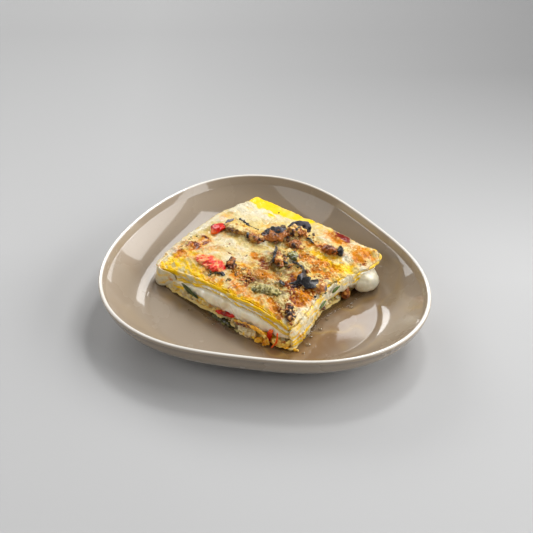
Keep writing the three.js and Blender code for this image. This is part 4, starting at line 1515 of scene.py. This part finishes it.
on_cheese(
    "red_brown_scrap", browned_flesh, "aubergine_flesh",
    path=[(3, 25, 0.4), (8.5, 23, 1.0), (15.5, 20, 0.2)],
    width=[5, 7.5, 3], depth=[3, 4, 2], rough=1.3, size=3.5, seed=95, burn=mottled(4, 96, 0.35),
)
on_cheese(
    "centre_flesh", browned_flesh, "aubergine_flesh", "charred_aubergine_centre",
    path=[(6, 4.5, 0.8), (10, 1.5, 2.4), (14, -2, 1.4), (17, -5, 0)],
    width=[3, 6, 5.5, 2.5], depth=[2, 3.6, 3.4, 2], rough=1.0, size=3.6, seed=97,
    burn=mottled(3.6, 98, 0.2, 1.3), tint=mottled(4, 198, 0.1),
)
on_cheese(
    "centre_skin", skin, "aubergine_skin",
    path=[(2.5, 9, 1.0), (4.5, 5, 3.2), (6.5, 1, 3.0), (9, -3, 2.2), (11.5, -6, 0.4)],
    width=[2, 4.5, 4, 4.5, 2], depth=1.2, roll=[60, 75, 60, 70, 40], rough=0.9, size=3, seed=99,
    # Painted highlight: the grey tint at the top end of this skin.
    rows=50, around=22, tint=lambda p, a, b, c: 0.9 * bell(a, -0.7, 0.15),
)
on_cheese(
    "olive_piece", olive, "olive", "green_olive_piece",
    path=[(14, 12.5, 0.2), (16.5, 10, 1.3), (19, 7.5, 0.6), (20.5, 5, 0)],
    width=[5, 8, 6, 3], depth=[3, 5, 4.4, 2], rough=0.7, size=4, seed=100,
    burn=mottled(5, 102, 0.1), tint=lambda p, a, b, c: np.clip(0.35 - 0.6 * a + noise(p, 4, 2, 101), 0, 1),
)
THREADS = [
    (1.5, [(13.5, 1.8, 0.5), (16, 1.2, 0.8), (19, 1.6, 0.3)]),
    (1.7, [(20.5, 4, 0.4), (24, 5.4, 0.9), (28.5, 5.2, 1.0), (33, 2.2, 0.9), (36, 0.5, 0.4)]),
    (2.2, [(27.5, -18.6, 0.4), (30, -19.4, 0.8), (33, -19.8, 0.2)]),
    (1.6, [(55.5, -12, 0.6), (56.5, -13.2, 0.8), (57, -14.6, 0.3)]),
]
for number, (width, path) in enumerate(THREADS):
    on_cheese(
        f"skin_thread_{number}", skin, "aubergine_skin", path=path,
        width=[width, 1.2 * width, width], depth=1.1, roll=15, rough=0.5, size=2.5, seed=103 + number,
        rows=40, around=14, tint=mottled(3, 104, 0.2),
    )

# %% [markdown]
# On the right half two sheets of black skin stand up like torn leather. Near the front corner lie a
# strip of courgette and a charred piece, and near the back-right side a mushroom.

# %% Pieces on the right half
on_cheese(
    "black_skin", skin, "aubergine_skin", "aubergine_skin",
    path=[(34.5, 2.5, 0.6), (36.5, -2.5, 3.4), (38, -7, 3.8), (38, -12, 2.2), (35, -17.5, 0.3)],
    width=[2, 6, 7, 4, 1.2], depth=0.9, roll=[30, 55, 40, 15, 0], rough=0.14, size=7, seed=110,
    rows=60, around=26,
    # Painted highlight: the grey-blue tint on this skin's left face.
    tint=lambda p, a, b, c: np.clip(1.1 * bell(a, -0.3, 0.35) * (0.6 + noise(p, 2.5, 2, 111)), 0, 1),
)
on_cheese(
    "black_skin_fold", skin, "aubergine_skin",
    path=[(38, -12, 1.6), (41.5, -8, 3.0), (45.5, -4.5, 3.6), (47.5, 0.5, 1.2)],
    width=[2, 7.5, 10, 3], depth=0.9, roll=[-10, -22, -12, 10], rough=0.2, size=7, seed=112,
    rows=60, around=34, tint=mottled(2.5, 113, 0.05, 0.5),
)
on_cheese(
    "aubergine_bump", browned_flesh, "aubergine_flesh", "aubergine_pocket",
    path=[(48, 1, 0), (51, -2, 1.6), (54.5, -5, 1.8), (57, -9.5, 0)],
    width=[5, 8.5, 8.5, 5], depth=[2.6, 4.6, 4.6, 2.6], rough=0.7, size=5, seed=114,
    burn=mottled(5, 116, 0.05), tint=mottled(5, 115, 0.2),
)
on_cheese(
    "courgette_strip", courgette, "courgette", "courgette_piece",
    path=[(19, -41, -0.6), (23.5, -38.5, 0.2), (28.5, -35.5, 0.5), (34, -32.5, 0.3), (39.5, -29.5, -0.6)],
    width=[4, 6.5, 7.5, 6.5, 2.5], depth=[2.5, 4, 4.4, 3.8, 2], rough=1.4, size=3.2, seed=117,
    rows=90, around=40, burn=mottled(6, 119, 0.0, 0.7),
    tint=lambda p, a, b, c: np.clip(step(b, 0.3, 0.95) * 0.6 + 0.6 * noise(p, 3, 2, 118), 0, 1),
)
on_cheese(
    "front_char", browned_flesh, "aubergine_skin", "charred_front_piece",
    path=[(48.5, -33, 0.2), (52, -36.5, 2.2), (55.5, -40.5, 2.6), (59.5, -45, 0.4)],
    width=[3, 5, 4.6, 2.5], depth=[2, 4, 4, 2], rough=1.4, size=3.2, seed=120, rows=70, around=36,
    burn=mottled(3, 121, 0.7, 1.3), tint=mottled(3, 221, 0.2),
)
on_cheese(
    "mushroom_flesh", mushroom, "mushroom", "mushroom_cap_piece",
    path=[(28.5, 31, 0.2), (32, 33, 1.4), (36, 34.5, 1.6), (39, 35.5, 0.3)],
    width=[4, 7, 6, 3], depth=[3, 5, 4.5, 2.5], rough=1.0, size=3, seed=122, burn=mottled(4, 123, 0.1),
)
on_cheese(
    "mushroom_char", skin, "mushroom",
    path=[(37, 42, 0.4), (39, 39, 1.6), (40.8, 36, 2.0), (41.5, 33, 0.6)],
    width=[2, 4, 4.4, 2], depth=[2, 3.6, 4, 2], rough=0.6, size=3, seed=124, rows=40, around=24, burn=0.4,
)

# %% [markdown]
# ## At the cut sides
#
# These show how the slice was layered: a leaf and a strip of pepper caught in the cut, mushroom and
# courgette under the sauce, and drops of sauce that ran out at two corners. Their paths give heights
# above the table.

# %% Pieces at the sides
place_piece(
    "spinach_leaf", leaf, "leaf", "spinach_leaf_side",
    path=[(-34, -57.8, 20.6), (-29, -59, 20), (-24.5, -59.2, 18.4), (-20, -58.6, 16.4), (-17.5, -57.8, 14.6)],
    width=[3, 7.5, 5, 3, 1.2], depth=0.9, roll=[60, 75, 85, 70, 60], rough=0.5, seed=130,
    rows=60, around=26, tint=lambda p, a, b, c: 0.7 * bell(b, 0, 0.25),
)
place_piece(
    "pepper_at_side", pepper, "red_pepper", "red_pepper_side",
    path=[(0, -57.6, 12), (5, -59, 14.4), (11, -59.4, 16.6), (18.5, -58.6, 17.2)],
    width=[2.5, 3.2, 3.4, 2.5], depth=[2, 3, 3, 2], rough=0.6, seed=131,
    burn=lambda p, a, b, c: 0.6 * bell(a, 0.3, 0.4),
)
place_piece(
    "mushroom_at_side", mushroom, "mushroom", "mushroom_slice_side",
    path=[(20.5, -58.4, 13.4), (25.5, -60, 15.4), (31, -60.4, 17.2), (36, -59.4, 18)],
    width=[2.4, 3.4, 3.4, 2.4], depth=[1.6, 2.4, 2.4, 1.6], rough=0.6, size=3, seed=132,
    burn=mottled(4, 133, 0.3),
)
place_piece(
    "courgette_at_side", courgette, "courgette", "courgette_cube_side",
    path=[(20, -56.5, 10.4), (24, -58.6, 10.6), (29, -58.8, 10.2), (34, -56.6, 9.8)],
    width=[5, 8, 8, 4], depth=[3, 5, 5, 3], rough=1.0, size=3.5, seed=134,
    burn=mottled(5, 136, 0.1), tint=mottled(4, 135, 0.2),
)
place_piece(
    "pepper_at_front", pepper, "red_pepper", "red_pepper_front",
    path=[(50.5, -54.5, 20), (49.5, -55.8, 17), (48.6, -56.2, 13), (48.4, -56.5, 9)],
    width=[1.5, 3.2, 3.6, 2.4], depth=[1.5, 3, 3.2, 2], rough=0.6, size=3.5, seed=137,
    tint=lambda p, a, b, c: step(-a, 0.2, 0.9),
)
place_piece(
    "mushroom_at_right", mushroom, "mushroom", "mushroom_stem_right",
    path=[(58, 20.5, 17.5), (59, 20.3, 14.5), (59.5, 19.8, 10.5), (58.5, 19, 7.6)],
    width=[3, 5.4, 5.2, 6], depth=[3, 5.4, 6, 6], rough=0.6, seed=138, tint=mottled(3, 139, 0.4),
)

# %% [markdown]
# A drop of thick sauce hangs under the right corner. It is the one piece that is round, so it is made
# of level rings, whose radius follows a circle, and a short neck joins it to the slice.

# %% Drop of sauce


def drop(middle, size, rough, seed, rows=60, around=64):
    """A rounded drop that sags a little towards the plate."""
    rings = []
    turn = np.linspace(0, 2 * pi, around, endpoint=False)
    for rise in np.linspace(-pi / 2, pi / 2, rows):
        radius = max(cos(rise), 0.002) ** 0.9
        level = np.full(around, sin(rise))
        ring = np.column_stack([np.cos(turn) * radius, np.sin(turn) * radius, level])
        ring = ring * [size[0] / 2, size[1] / 2, size[2] / 2]
        swell = 1 + rough * noise(ring, 7, 2, seed)[:, None] - 0.06 * ring[:, 2:3] / size[2]
        rings.append(ring * swell + middle)
    return loft(rings)


drop_shape = drop((64.5, 38.5, 15.4), (17.5, 21.5, 17), 0.1, 140)
add_piece("sauce_drop", drop_shape, thick_sauce, "white_sauce", "white_sauce_drop")
place_piece(
    "sauce_neck", thick_sauce, "white_sauce",
    path=[(56, 26, 14), (60, 31, 15.5), (63, 37, 17)],
    width=[6, 9, 10], depth=[6, 8, 9], rough=1.2, size=6, seed=144, rows=50, around=40,
)

# %% [markdown]
# Cheese and sauce have also run down the cut and set there, so that the layers hardly show on the
# front-right side and at the left corner. Each run is a tall thin sweep with soft folds, in the
# crust's own finish, whose paints draw the yellow edges of the pasta under it.

# %% Runs of cheese down the sides
RUN_FOLDS = 1.6


def side_height(u, v, share):
    """Height at a share of the way from the plate to the top sheet."""
    u, v = np.array([u]), np.array([v])
    x, y, _ = to_plate(u, v, 0).T
    return float(mix(plate_top(x, y), layer_base(CRUST, u, v), share)[0])


def edge_line(side, level, out, start, end, count=9):
    """Places along one side of the slice, by the shape of its edge at a level from plate to crust."""
    q = np.linspace(start, end, count)
    edge = out + bow(side, q, level)
    if side == "front_left":
        return list(zip(q * HALF_LENGTH, -HALF_WIDTH - edge))
    return list(zip(HALF_LENGTH + edge, q * HALF_WIDTH))


def run_paints(points, upward, seed, yolk, milk, top):
    """Yellow lines where sheets of pasta lie under the run, and browning in spots."""
    level = upward + 0.6 * noise(points * [1, 1, 0.4], 17, 2, seed + 5)
    shown = np.clip(0.55 + 1.5 * noise(points, 13, 2, seed + 11), 0, 1.1)
    lines = (1.2 * bell(level, 0.45, 0.18) + 1.1 * bell(level, -0.35, 0.15)) * shown
    lines = lines + top * step(level, 0.6, 0.85)
    streaks = noise(points * [1, 1, 2.4], 9, 3, seed + 6)
    return {
        "yolk": np.clip(yolk * (lines + 0.9 * streaks), 0, 1.2),
        "milk": np.clip(milk + 0.6 * noise(points, 9, 2, seed + 7), 0, 1.2),
        "gold": np.clip(0.9 * noise(points, 6, 2, seed + 8) - 0.25, 0, 1),
        "toast": np.clip(0.8 * noise(points, 4, 2, seed + 9) - 0.45, 0, 1),
        "moss": np.clip(0.7 * noise(points, 6, 2, seed + 10) - 0.3, 0, 1),
    }


def run_down(name, *nodes, path, share, thick, tall, seed, yolk, milk, roll=0, rough, size, top=0.0):
    """A run along places (u, v), round a share of the side's height and a share of it tall."""
    shares = spread(share, np.linspace(-1, 1, len(path)))
    middles = [(u, v, side_height(u, v, part)) for (u, v), part in zip(path, shares)]
    centre = path[len(path) // 2]
    tall = np.multiply(tall, side_height(*centre, 1) - side_height(*centre, 0))
    section = {"rows": 220, "around": 64, "blunt": 12, "folds": RUN_FOLDS}
    points, faces, _, _, upward = sweep(middles, thick, tall, roll, rough, size, seed, **section)
    paints = run_paints(points, upward, seed, yolk, milk, top)
    piece = make_object(name, to_plate(*points.T), faces, paints)
    finish_piece(piece, crust_finish.material, "white_sauce" if nodes else "gratin", *nodes)


run_down(
    "veil_front_left", path=edge_line("front_left", 0.95, -0.1, -0.95, 0.99), share=0.88,
    thick=[1.5, 2.6, 2.6, 2.6, 2.6, 2.6, 1.5], tall=0.3, seed=210, yolk=1.4, milk=0.35,
    roll=-6, rough=0.6, size=8, top=0.8,
)
run_down(
    "veil_front_right", path=edge_line("front_right", 0.8, 0.5, -0.97, 0.62), share=0.76,
    thick=[2, 3.2, 3.4, 3.4, 3.2, 3, 2], tall=0.52, seed=160, yolk=0.8, milk=1.0,
    roll=6, rough=0.9, size=8, top=0.5,
)
run_down(
    "run_low_right", path=edge_line("front_right", 0.4, 0.9, -0.95, -0.2), share=0.36,
    thick=[2.5, 4.6, 3.6, 4, 2.5], tall=0.42, seed=170, yolk=0.8, milk=0.5,
    roll=4, rough=1.3, size=5,
)
run_down(
    "run_front_left",
    path=[(-56, -54.5), (-46, -54.8), (-34, -55.2), (-22, -55.4), (-10, -55.2), (-2, -54)],
    share=0.3, thick=[3, 4, 4.6, 4.4, 4, 2.5], tall=0.42, seed=180, yolk=0.8, milk=0.35,
    rough=1.1, size=5.5,
)
run_down(
    "sauce_fold", "white_sauce_fold",
    path=[(-60, -24), (-62.6, -35), (-63.8, -45), (-62.6, -53.5), (-57.5, -57), (-51, -56.6), (-43, -54.6)],
    share=[0.66, 0.6, 0.56, 0.53, 0.56, 0.66, 0.78], thick=[1.5, 2.2, 2.8, 3, 2.6, 2, 0.8],
    tall=[0.7, 0.95, 1.15, 1.15, 1.05, 0.8, 0.45], seed=190, yolk=0.4, milk=1.0,
    roll=8, rough=0.5, size=9,
)

# %% [markdown]
# Under the sauce at the front-left lie bigger bits: a ribbon of pasta that arches over a hollow, a
# creamy chunk in it, yellow crumbs, wet dark leaves, and at the corner a tip of pasta and a shred of
# pepper that stick out on to the plate.

# %% Bits under the sauce


def ribbon(name, path, width, depth, roll, seed, rough=0.5, pale=0.2):
    place_piece(
        name, golden_pasta, "pasta", path=path, width=width, depth=depth, roll=roll, rough=rough,
        seed=seed, rows=80, around=24, burn=mottled(4, seed + 1, -0.1), tint=mottled(5, seed, pale),
    )


arch = [(17, -58.2, 13.5), (26, -60, 16.6), (35, -60.6, 18.8), (43, -60.2, 18.6), (48.5, -59.4, 14.5)]
ribbon("pasta_arch", [*arch, (50.5, -58.6, 8)], 1.6, 2.8, 0, 250)
tip = [(48, -53.5, 9.2), (56, -53.4, 9.4), (63.5, -51, 8.8), (70.5, -49, 7.4)]
ribbon("pasta_tip", tip, [6, 7.5, 5.5, 0.8], 1.3, 8, 251, rough=0.8)
corner = [(52, -56.8, 13.5), (57, -56, 13), (62.5, -52.6, 12.5), (65, -47, 13.5)]
ribbon("pasta_corner", corner, 1.6, [3, 4.5, 4.5, 3], 0, 252, rough=0.9, pale=0.5)
crumbs = [(39, -57.8, 8.2), (44, -59, 8.6), (49, -58, 8.2)]
ribbon("yellow_crumbs", crumbs, [3, 4.4, 3], [2.4, 3.2, 2.4], 0, 253, rough=1.6, pale=-0.2)
place_piece(
    "creamy_chunk", cream_chunk, "filling",
    path=[(22, -57, 9.8), (27.5, -59.4, 10.6), (33.5, -59.8, 10.8), (39, -57.6, 10)],
    width=[4, 6, 6.5, 4], depth=[4, 6, 6, 4], rough=1.1, size=4.5, seed=254, rows=80, around=44,
    burn=mottled(5, 256, -0.2), tint=mottled(5, 255, 0.05),
)
place_piece(
    "wet_leaves", olive, "leaf",
    path=[(-8, -56.8, 6.9), (2, -58.4, 7.2), (12, -58.8, 7.6), (20, -57.2, 8)],
    width=[2.5, 4, 4, 2.5], depth=[2, 3, 3, 2], rough=1.1, size=3.4, seed=257, rows=90, around=30,
    burn=mottled(5, 259, 0.1), tint=mottled(4, 258, 0.0),
)
place_piece(
    "pepper_shred", pepper, "red_pepper",
    path=[(56.5, -56.2, 22), (57.6, -57.8, 18), (56.6, -58.4, 13), (53, -58.8, 7.6)],
    width=[0.8, 1.6, 1.8, 1.2], depth=1.2, rough=0.4, size=3, seed=260, rows=40, around=14, tint=0.6,
)
place_piece(
    "corner_sauce", smooth_sauce, "white_sauce",
    path=[(60.5, -50.5, 17), (63.2, -46.5, 17.5), (64, -41, 18)],
    width=[3, 4.6, 3], depth=[4, 6, 4], rough=0.5, size=5, seed=261, rows=50, around=36,
)
SCRAPS = [[(62, 9, 27), (61.5, 5, 25.6), (60.5, 1, 24)], [(60.5, -6, 21.5), (61, -10, 20.5), (61, -14, 19)]]
for number, path in enumerate(SCRAPS):
    place_piece(
        f"leaf_at_right_{number}", leaf, "leaf", path=path, width=[1, 2.6, 1.2], depth=0.7, roll=70,
        rough=0.3, size=3, seed=270 + number, rows=30, around=14, tint=0.5,
    )

# %% [markdown]
# ## Fragments
#
# Baking breaks everything up: shreds of aubergine, golden crumbs of cheese, chopped herbs. Each kind
# is one mesh that joins many tiny sweeps, strewn by seeded draws round the places where the big
# pieces lie, so each fragment keeps its true size and its own degree of browning.

# %% Strew fragments


def fragment(dice, spot, length, rise, slim, seed):
    """One tiny sweep near a spot of (u, v, spread along, spread across, turn, count)."""
    middle_u, middle_v, spread_u, spread_v, turn, _ = spot
    c, s = cos(radians(turn)), sin(radians(turn))
    du, dv = dice.normal(size=2) * [spread_u, spread_v] * 0.6
    u, v = middle_u + du * c - dv * s, middle_v + du * s + dv * c
    u, v = float(np.clip(u, -61, 60)), float(np.clip(v, -52, 47 if u < 2 else 53))
    long = length * dice.uniform(0.5, 1.5)
    heading = dice.uniform(0, pi)
    step_u, step_v = 0.5 * long * cos(heading), 0.5 * long * sin(heading)
    lift = rise * dice.uniform(-0.3, 1.4)
    tip = lift + dice.uniform(-0.4, 0.4) * long
    path = on_crust([(u - step_u, v - step_v, 0.2), (u, v, lift), (u + step_u, v + step_v, 0.5 * tip)])
    thick = long * slim * dice.uniform(0.6, 1.3)
    width, depth = [0.5 * thick, thick, 0.4 * thick], [0.4 * thick, 0.8 * thick, 0.3 * thick]
    roll = dice.uniform(-40, 40)
    return sweep(path, width, depth, roll, 0.3 * thick, 1.1 * thick, seed, rows=9, around=9)[:2]


def strew(name, material, slot, spots, seed, length, burnt, tinted, rise, slim):
    """Fragments round the spots, each with its own burn and tint."""
    dice = np.random.default_rng(seed)
    parts, burns, tints = [], [], []
    for spot in spots:
        for _ in range(spot[-1]):
            part = fragment(dice, spot, length, rise, slim, seed + len(parts))
            parts.append(part)
            burns.append(np.full(len(part[0]), dice.uniform(*burnt)))
            tints.append(np.full(len(part[0]), dice.uniform(*tinted)))
    points, faces = join(parts)
    paints = {"burn": np.concatenate(burns), "tint": np.concatenate(tints)}
    finish_piece(make_object(name, to_plate(*points.T), faces, paints), material, slot)


SHREDS = [
    (-10, 22, 9, 5, 48, 26), (1, 33, 9, 6, 40, 26), (11, 22, 6, 3, -25, 14), (10, 1, 6, 5, -40, 16),
    (20, -1, 7, 4, -10, 8), (54, -40, 6, 4, -48, 16), (35, 34, 6, 3, 20, 10), (-12, -28, 4, 3, -40, 8),
    (4, -30, 8, 5, -28, 14), (48, -10, 7, 6, 0, 12), (-22, 9, 8, 3, 5, 10), (38, -2, 6, 3, -30, 6),
]
CHARS = [
    (-12, 21, 5, 4, 48, 8), (-2, 29, 5, 4, 40, 6), (8, 2, 4, 4, -50, 6), (54, -39, 3, 3, -48, 7),
    (24, 4, 8, 1.5, -15, 4), (42, -8, 4, 4, -20, 3), (39, 37, 2, 2, 0, 3), (-9, -41, 1.5, 1.5, 0, 2),
]
CRUMBS = [
    (4, 27, 12, 5, 30, 40), (-2, -30, 9, 5, -28, 50), (8, -37, 6, 6, 0, 24), (20, -22, 9, 6, 0, 20),
    (45, -20, 12, 9, 0, 60), (50, -40, 10, 7, 0, 46), (30, 15, 16, 5, -8, 40), (-35, 11, 13, 5, 5, 34),
    (48, 10, 12, 6, 0, 30), (26, 32, 12, 5, 0, 26), (12, 8, 9, 7, 0, 26), (-18, 10, 8, 4, 0, 16),
    (56, 44, 9, 8, 0, 26), (32, -34, 12, 5, 22, 20), (-12, 15, 8, 4, 30, 20),
]
HERBS = [
    (-15, -46, 3, 2, 0, 6), (0, -44, 1, 1, 0, 3), (58, 8, 1, 2, 0, 3), (60, -8, 1, 3, 0, 3),
    (20, -3, 6, 3, 0, 5), (28, -26, 12, 8, 0, 3), (-15, -44, 4, 2, 0, 4),
]
SPECKS = [(-60, -26, 1.2, 9, 0, 14), (-58, -18, 4, 3, 0, 5), (-26, 56, 3, 1, 0, 3), (-30, -12, 18, 6, 0, 3)]
FLESH = "aubergine_flesh"
# Name, finish, slot, spots, seed, length, least and most burn, least and most tint, rise, slimness.
KINDS = [
    ("aubergine_shreds", browned_flesh, FLESH, SHREDS, 200, 4.2, (-0.3, 0.9), (-0.3, 1.1), 1.2, 0.42),
    ("skin_shreds", skin, "aubergine_skin", CHARS, 201, 3.6, (0, 0.5), (-0.3, 0.9), 1.2, 0.28),
    ("cheese_crumbs", crumb, "gratin", CRUMBS, 202, 1.2, (-0.6, 0.6), (-0.5, 0.8), 0.3, 0.75),
    ("herbs", leaf, "leaf", HERBS, 203, 2.0, (0, 0.6), (0, 0.5), 0.3, 0.4),
    ("burnt_specks", skin, "aubergine_skin", SPECKS, 204, 0.9, (0.2, 1), (0, 0.4), 0.2, 0.8),
]
for kind in KINDS:
    strew(*kind)

# %% [markdown]
# ## Juice
#
# Oil and juice have crept out from under the slice. The film is thin, so it takes the plate's
# colour and makes it darker and browner, and its edge is rounded like that of any wet drop. It is
# widest past the middle of the front-left side, and on the front-right side near the right corner.

# %% Pool of juice
POOL_POINTS = 700
# The film's rings from under the slice outwards and back: share of its creep, and height.
POOL_RINGS = [(-0.2, 0.1), (1.0, -0.1), (1.0, 0.12), (0.97, 0.42), (0.9, 0.62), (0.6, 0.75), (-0.2, 0.8)]


def pool_rings():
    turn = np.linspace(0, 2 * pi, POOL_POINTS, endpoint=False)
    s, t = square(turn)
    inner = edge_share(turn, 0.0, {}) - 0.06
    outline = to_plate(s * HALF_LENGTH, t * HALF_WIDTH, 0)
    creep = 2.2 + 3.0 * noise(outline, 22, 2, 150) + 0.8 * noise(outline, 7, 1, 151)
    creep += 2.5 * bell(s, 0.3, 0.5) * (t < 0) + 7 * bell(t, 0.35, 0.4) * (s > 0)
    creep = np.maximum(creep, 0.8)
    rings = []
    for out, height in POOL_RINGS:
        share = inner + 0.06 + out * creep / 58
        x, y, _ = to_plate(share * s * HALF_LENGTH, share * t * HALF_WIDTH, 0).T
        rings.append(np.column_stack([x, y, plate_top(x, y) + height]))
    return rings


juice_finish = Finish("juice and oil")
streak = juice_finish.grain(9, 3)
juice_finish.surface(
    base_color=juice_finish.blend(streak, shade(92, 70, 34), shade(136, 104, 54)),
    alpha=0.2 + 0.3 * streak,
    roughness=0.03 + 0.04 * streak,
    normal=juice_finish.bump(juice_finish.grain(5, 3), 0.3),
    coat_weight=0.5,
    coat_roughness=0.02,
)
finish_piece(make_object("juice_pool", *loft(pool_rings())), juice_finish.material, "filling")

# %% [markdown]
# A few drops lie beside the pool. They are clear, so they show as small lenses with a bright point.

# %% Drops of juice
# Each drop is u, v and its width.
DROPLETS = [
    (71, -39, 3.6),
    (67, -31, 2.6),
    (67, -20, 3.0),
    (64, -8, 2.4),
    (69, 14, 3.2),
    (74, -48, 2.4),
    (-20, -65, 2.6),
    (4, -65, 2.2),
]
drops = []
for number, (u, v, width) in enumerate(DROPLETS):
    x, y, _ = to_plate(np.array([u]), np.array([v]), 0).T
    middle = (float(x[0]), float(y[0]), float(plate_top(x, y)[0]) + 0.2 * width)
    drops.append(drop(middle, (width, 0.8 * width, 0.42 * width), 0.15, 280 + number, rows=14, around=20))
clear_finish = Finish("clear drops")
clear_finish.surface(
    base_color=clear_finish.blend(clear_finish.grain(2, 2), shade(150, 124, 88), shade(186, 164, 126)),
    alpha=0.3 + 0.3 * clear_finish.grain(1, 2),
    roughness=0.04 + 0.04 * clear_finish.grain(1, 2),
    coat_weight=1.0,
    coat_roughness=0.02,
)
finish_piece(make_object("juice_drops", *join(drops)), clear_finish.material, "filling")

# %% [markdown]
# ## The table
#
# A pale sweep of paper lies under and behind the plate. Its colour is painted darker far off, and
# darkest behind the plate on the right: painted shade where the lamps' light falls off.

# %% Table
paper = Finish("paper sweep")
across = paper.node("ShaderNodeSeparateXYZ", {}, {0: paper.place}, 0)
depth = paper.node("ShaderNodeSeparateXYZ", {}, {0: paper.place}, 1)
# Painted shade: the grey darkens far off, and most behind the plate on the right.
far = depth.above(0.06, 0.42)
painted_shade_far_right = depth.above(0.02, 0.34) * across.above(-0.12, 0.33)
paper_colour = paper.blend(far, (0.465, 0.465, 0.465), (0.32, 0.32, 0.32))
paper_colour = paper.blend(painted_shade_far_right, paper_colour, (0.16, 0.16, 0.16))
paper.surface(base_color=paper_colour, roughness=0.9)
table_points = np.array([[-4000, -3000, 0], [4000, -3000, 0], [4000, 5000, 0], [-4000, 5000, 0]], float)
table = make_object("table", table_points, [[0, 1, 2, 3]])
table.data.materials.append(paper.material)
print("the table is", table.dimensions.x, "by", table.dimensions.y, "metres")

# %% [markdown]
# ## Light
#
# A glaze mirrors what stands round it, so each soft box is placed by what it does on the plate. The
# high box and the small sun box, behind the plate on the right, light the food and throw the soft
# shadow to the front. The low right box, the rim box and the low left box brighten the plate's wall.
# The back box and the small window stand where the plate's flat floor mirrors them as sharp pale
# patches. The front left box lifts the side that faces away from all the others.

# %% Lights
WORLD_LIGHT = 0.07
# Name, turn, rise, distance, width and height, brightness and lean. Lengths are in metres.
LAMPS = [
    ("high box", 47, 53, 1.6, (1.85, 0.44), 5.9, -37),
    ("low right box", 96, 26, 1.6, (2.1, 0.85), 4.6, 0),
    ("rim box", 56, 12, 1.7, (1.15, 0.3), 3.8, -25),
    ("front left box", -120, 40, 1.6, (1.5, 0.9), 1.6, 0),
    ("low left box", -76, 15, 1.8, (1.0, 0.4), 4.5, 0),
    ("back box", -26, 28, 1.7, (0.86, 0.5), 8.5, -25),
    ("window", 7.6, 40.8, 1.72, (0.08, 0.038), 6.0, 0),
    ("sun box", 18, 54, 1.6, (0.24, 0.24), 37, 0),
]


def soft_box(name, turn, rise, distance, size, brightness, lean):
    """A rectangular light, turned clockwise from straight behind the plate and raised by rise."""
    lamp = bpy.data.lights.new(name, "AREA")
    lamp.shape = "RECTANGLE"
    lamp.size, lamp.size_y = size
    lamp.energy = brightness * pi * size[0] * size[1]
    holder = bpy.data.objects.new(name, lamp)
    scene.collection.objects.link(holder)
    turn, rise = radians(turn), radians(rise)
    toward = Vector((sin(turn) * cos(rise), cos(turn) * cos(rise), sin(rise)))
    holder.location = toward * distance
    leaning = Quaternion((0, 0, 1), radians(lean))
    holder.rotation_euler = (toward.to_track_quat("Z", "Y") @ leaning).to_euler()
    print(name, "gives", round(lamp.energy, 2), "watts")


for lamp_row in LAMPS:
    soft_box(*lamp_row)

world = bpy.data.worlds.new("room")
scene.world = world
world.use_nodes = True
world.node_tree.nodes["Background"].inputs["Color"].default_value = (1.0, 1.0, 1.0, 1)
world.node_tree.nodes["Background"].inputs["Strength"].default_value = WORLD_LIGHT
scene.view_settings.view_transform = "Standard"

# %% [markdown]
# ## Close
#
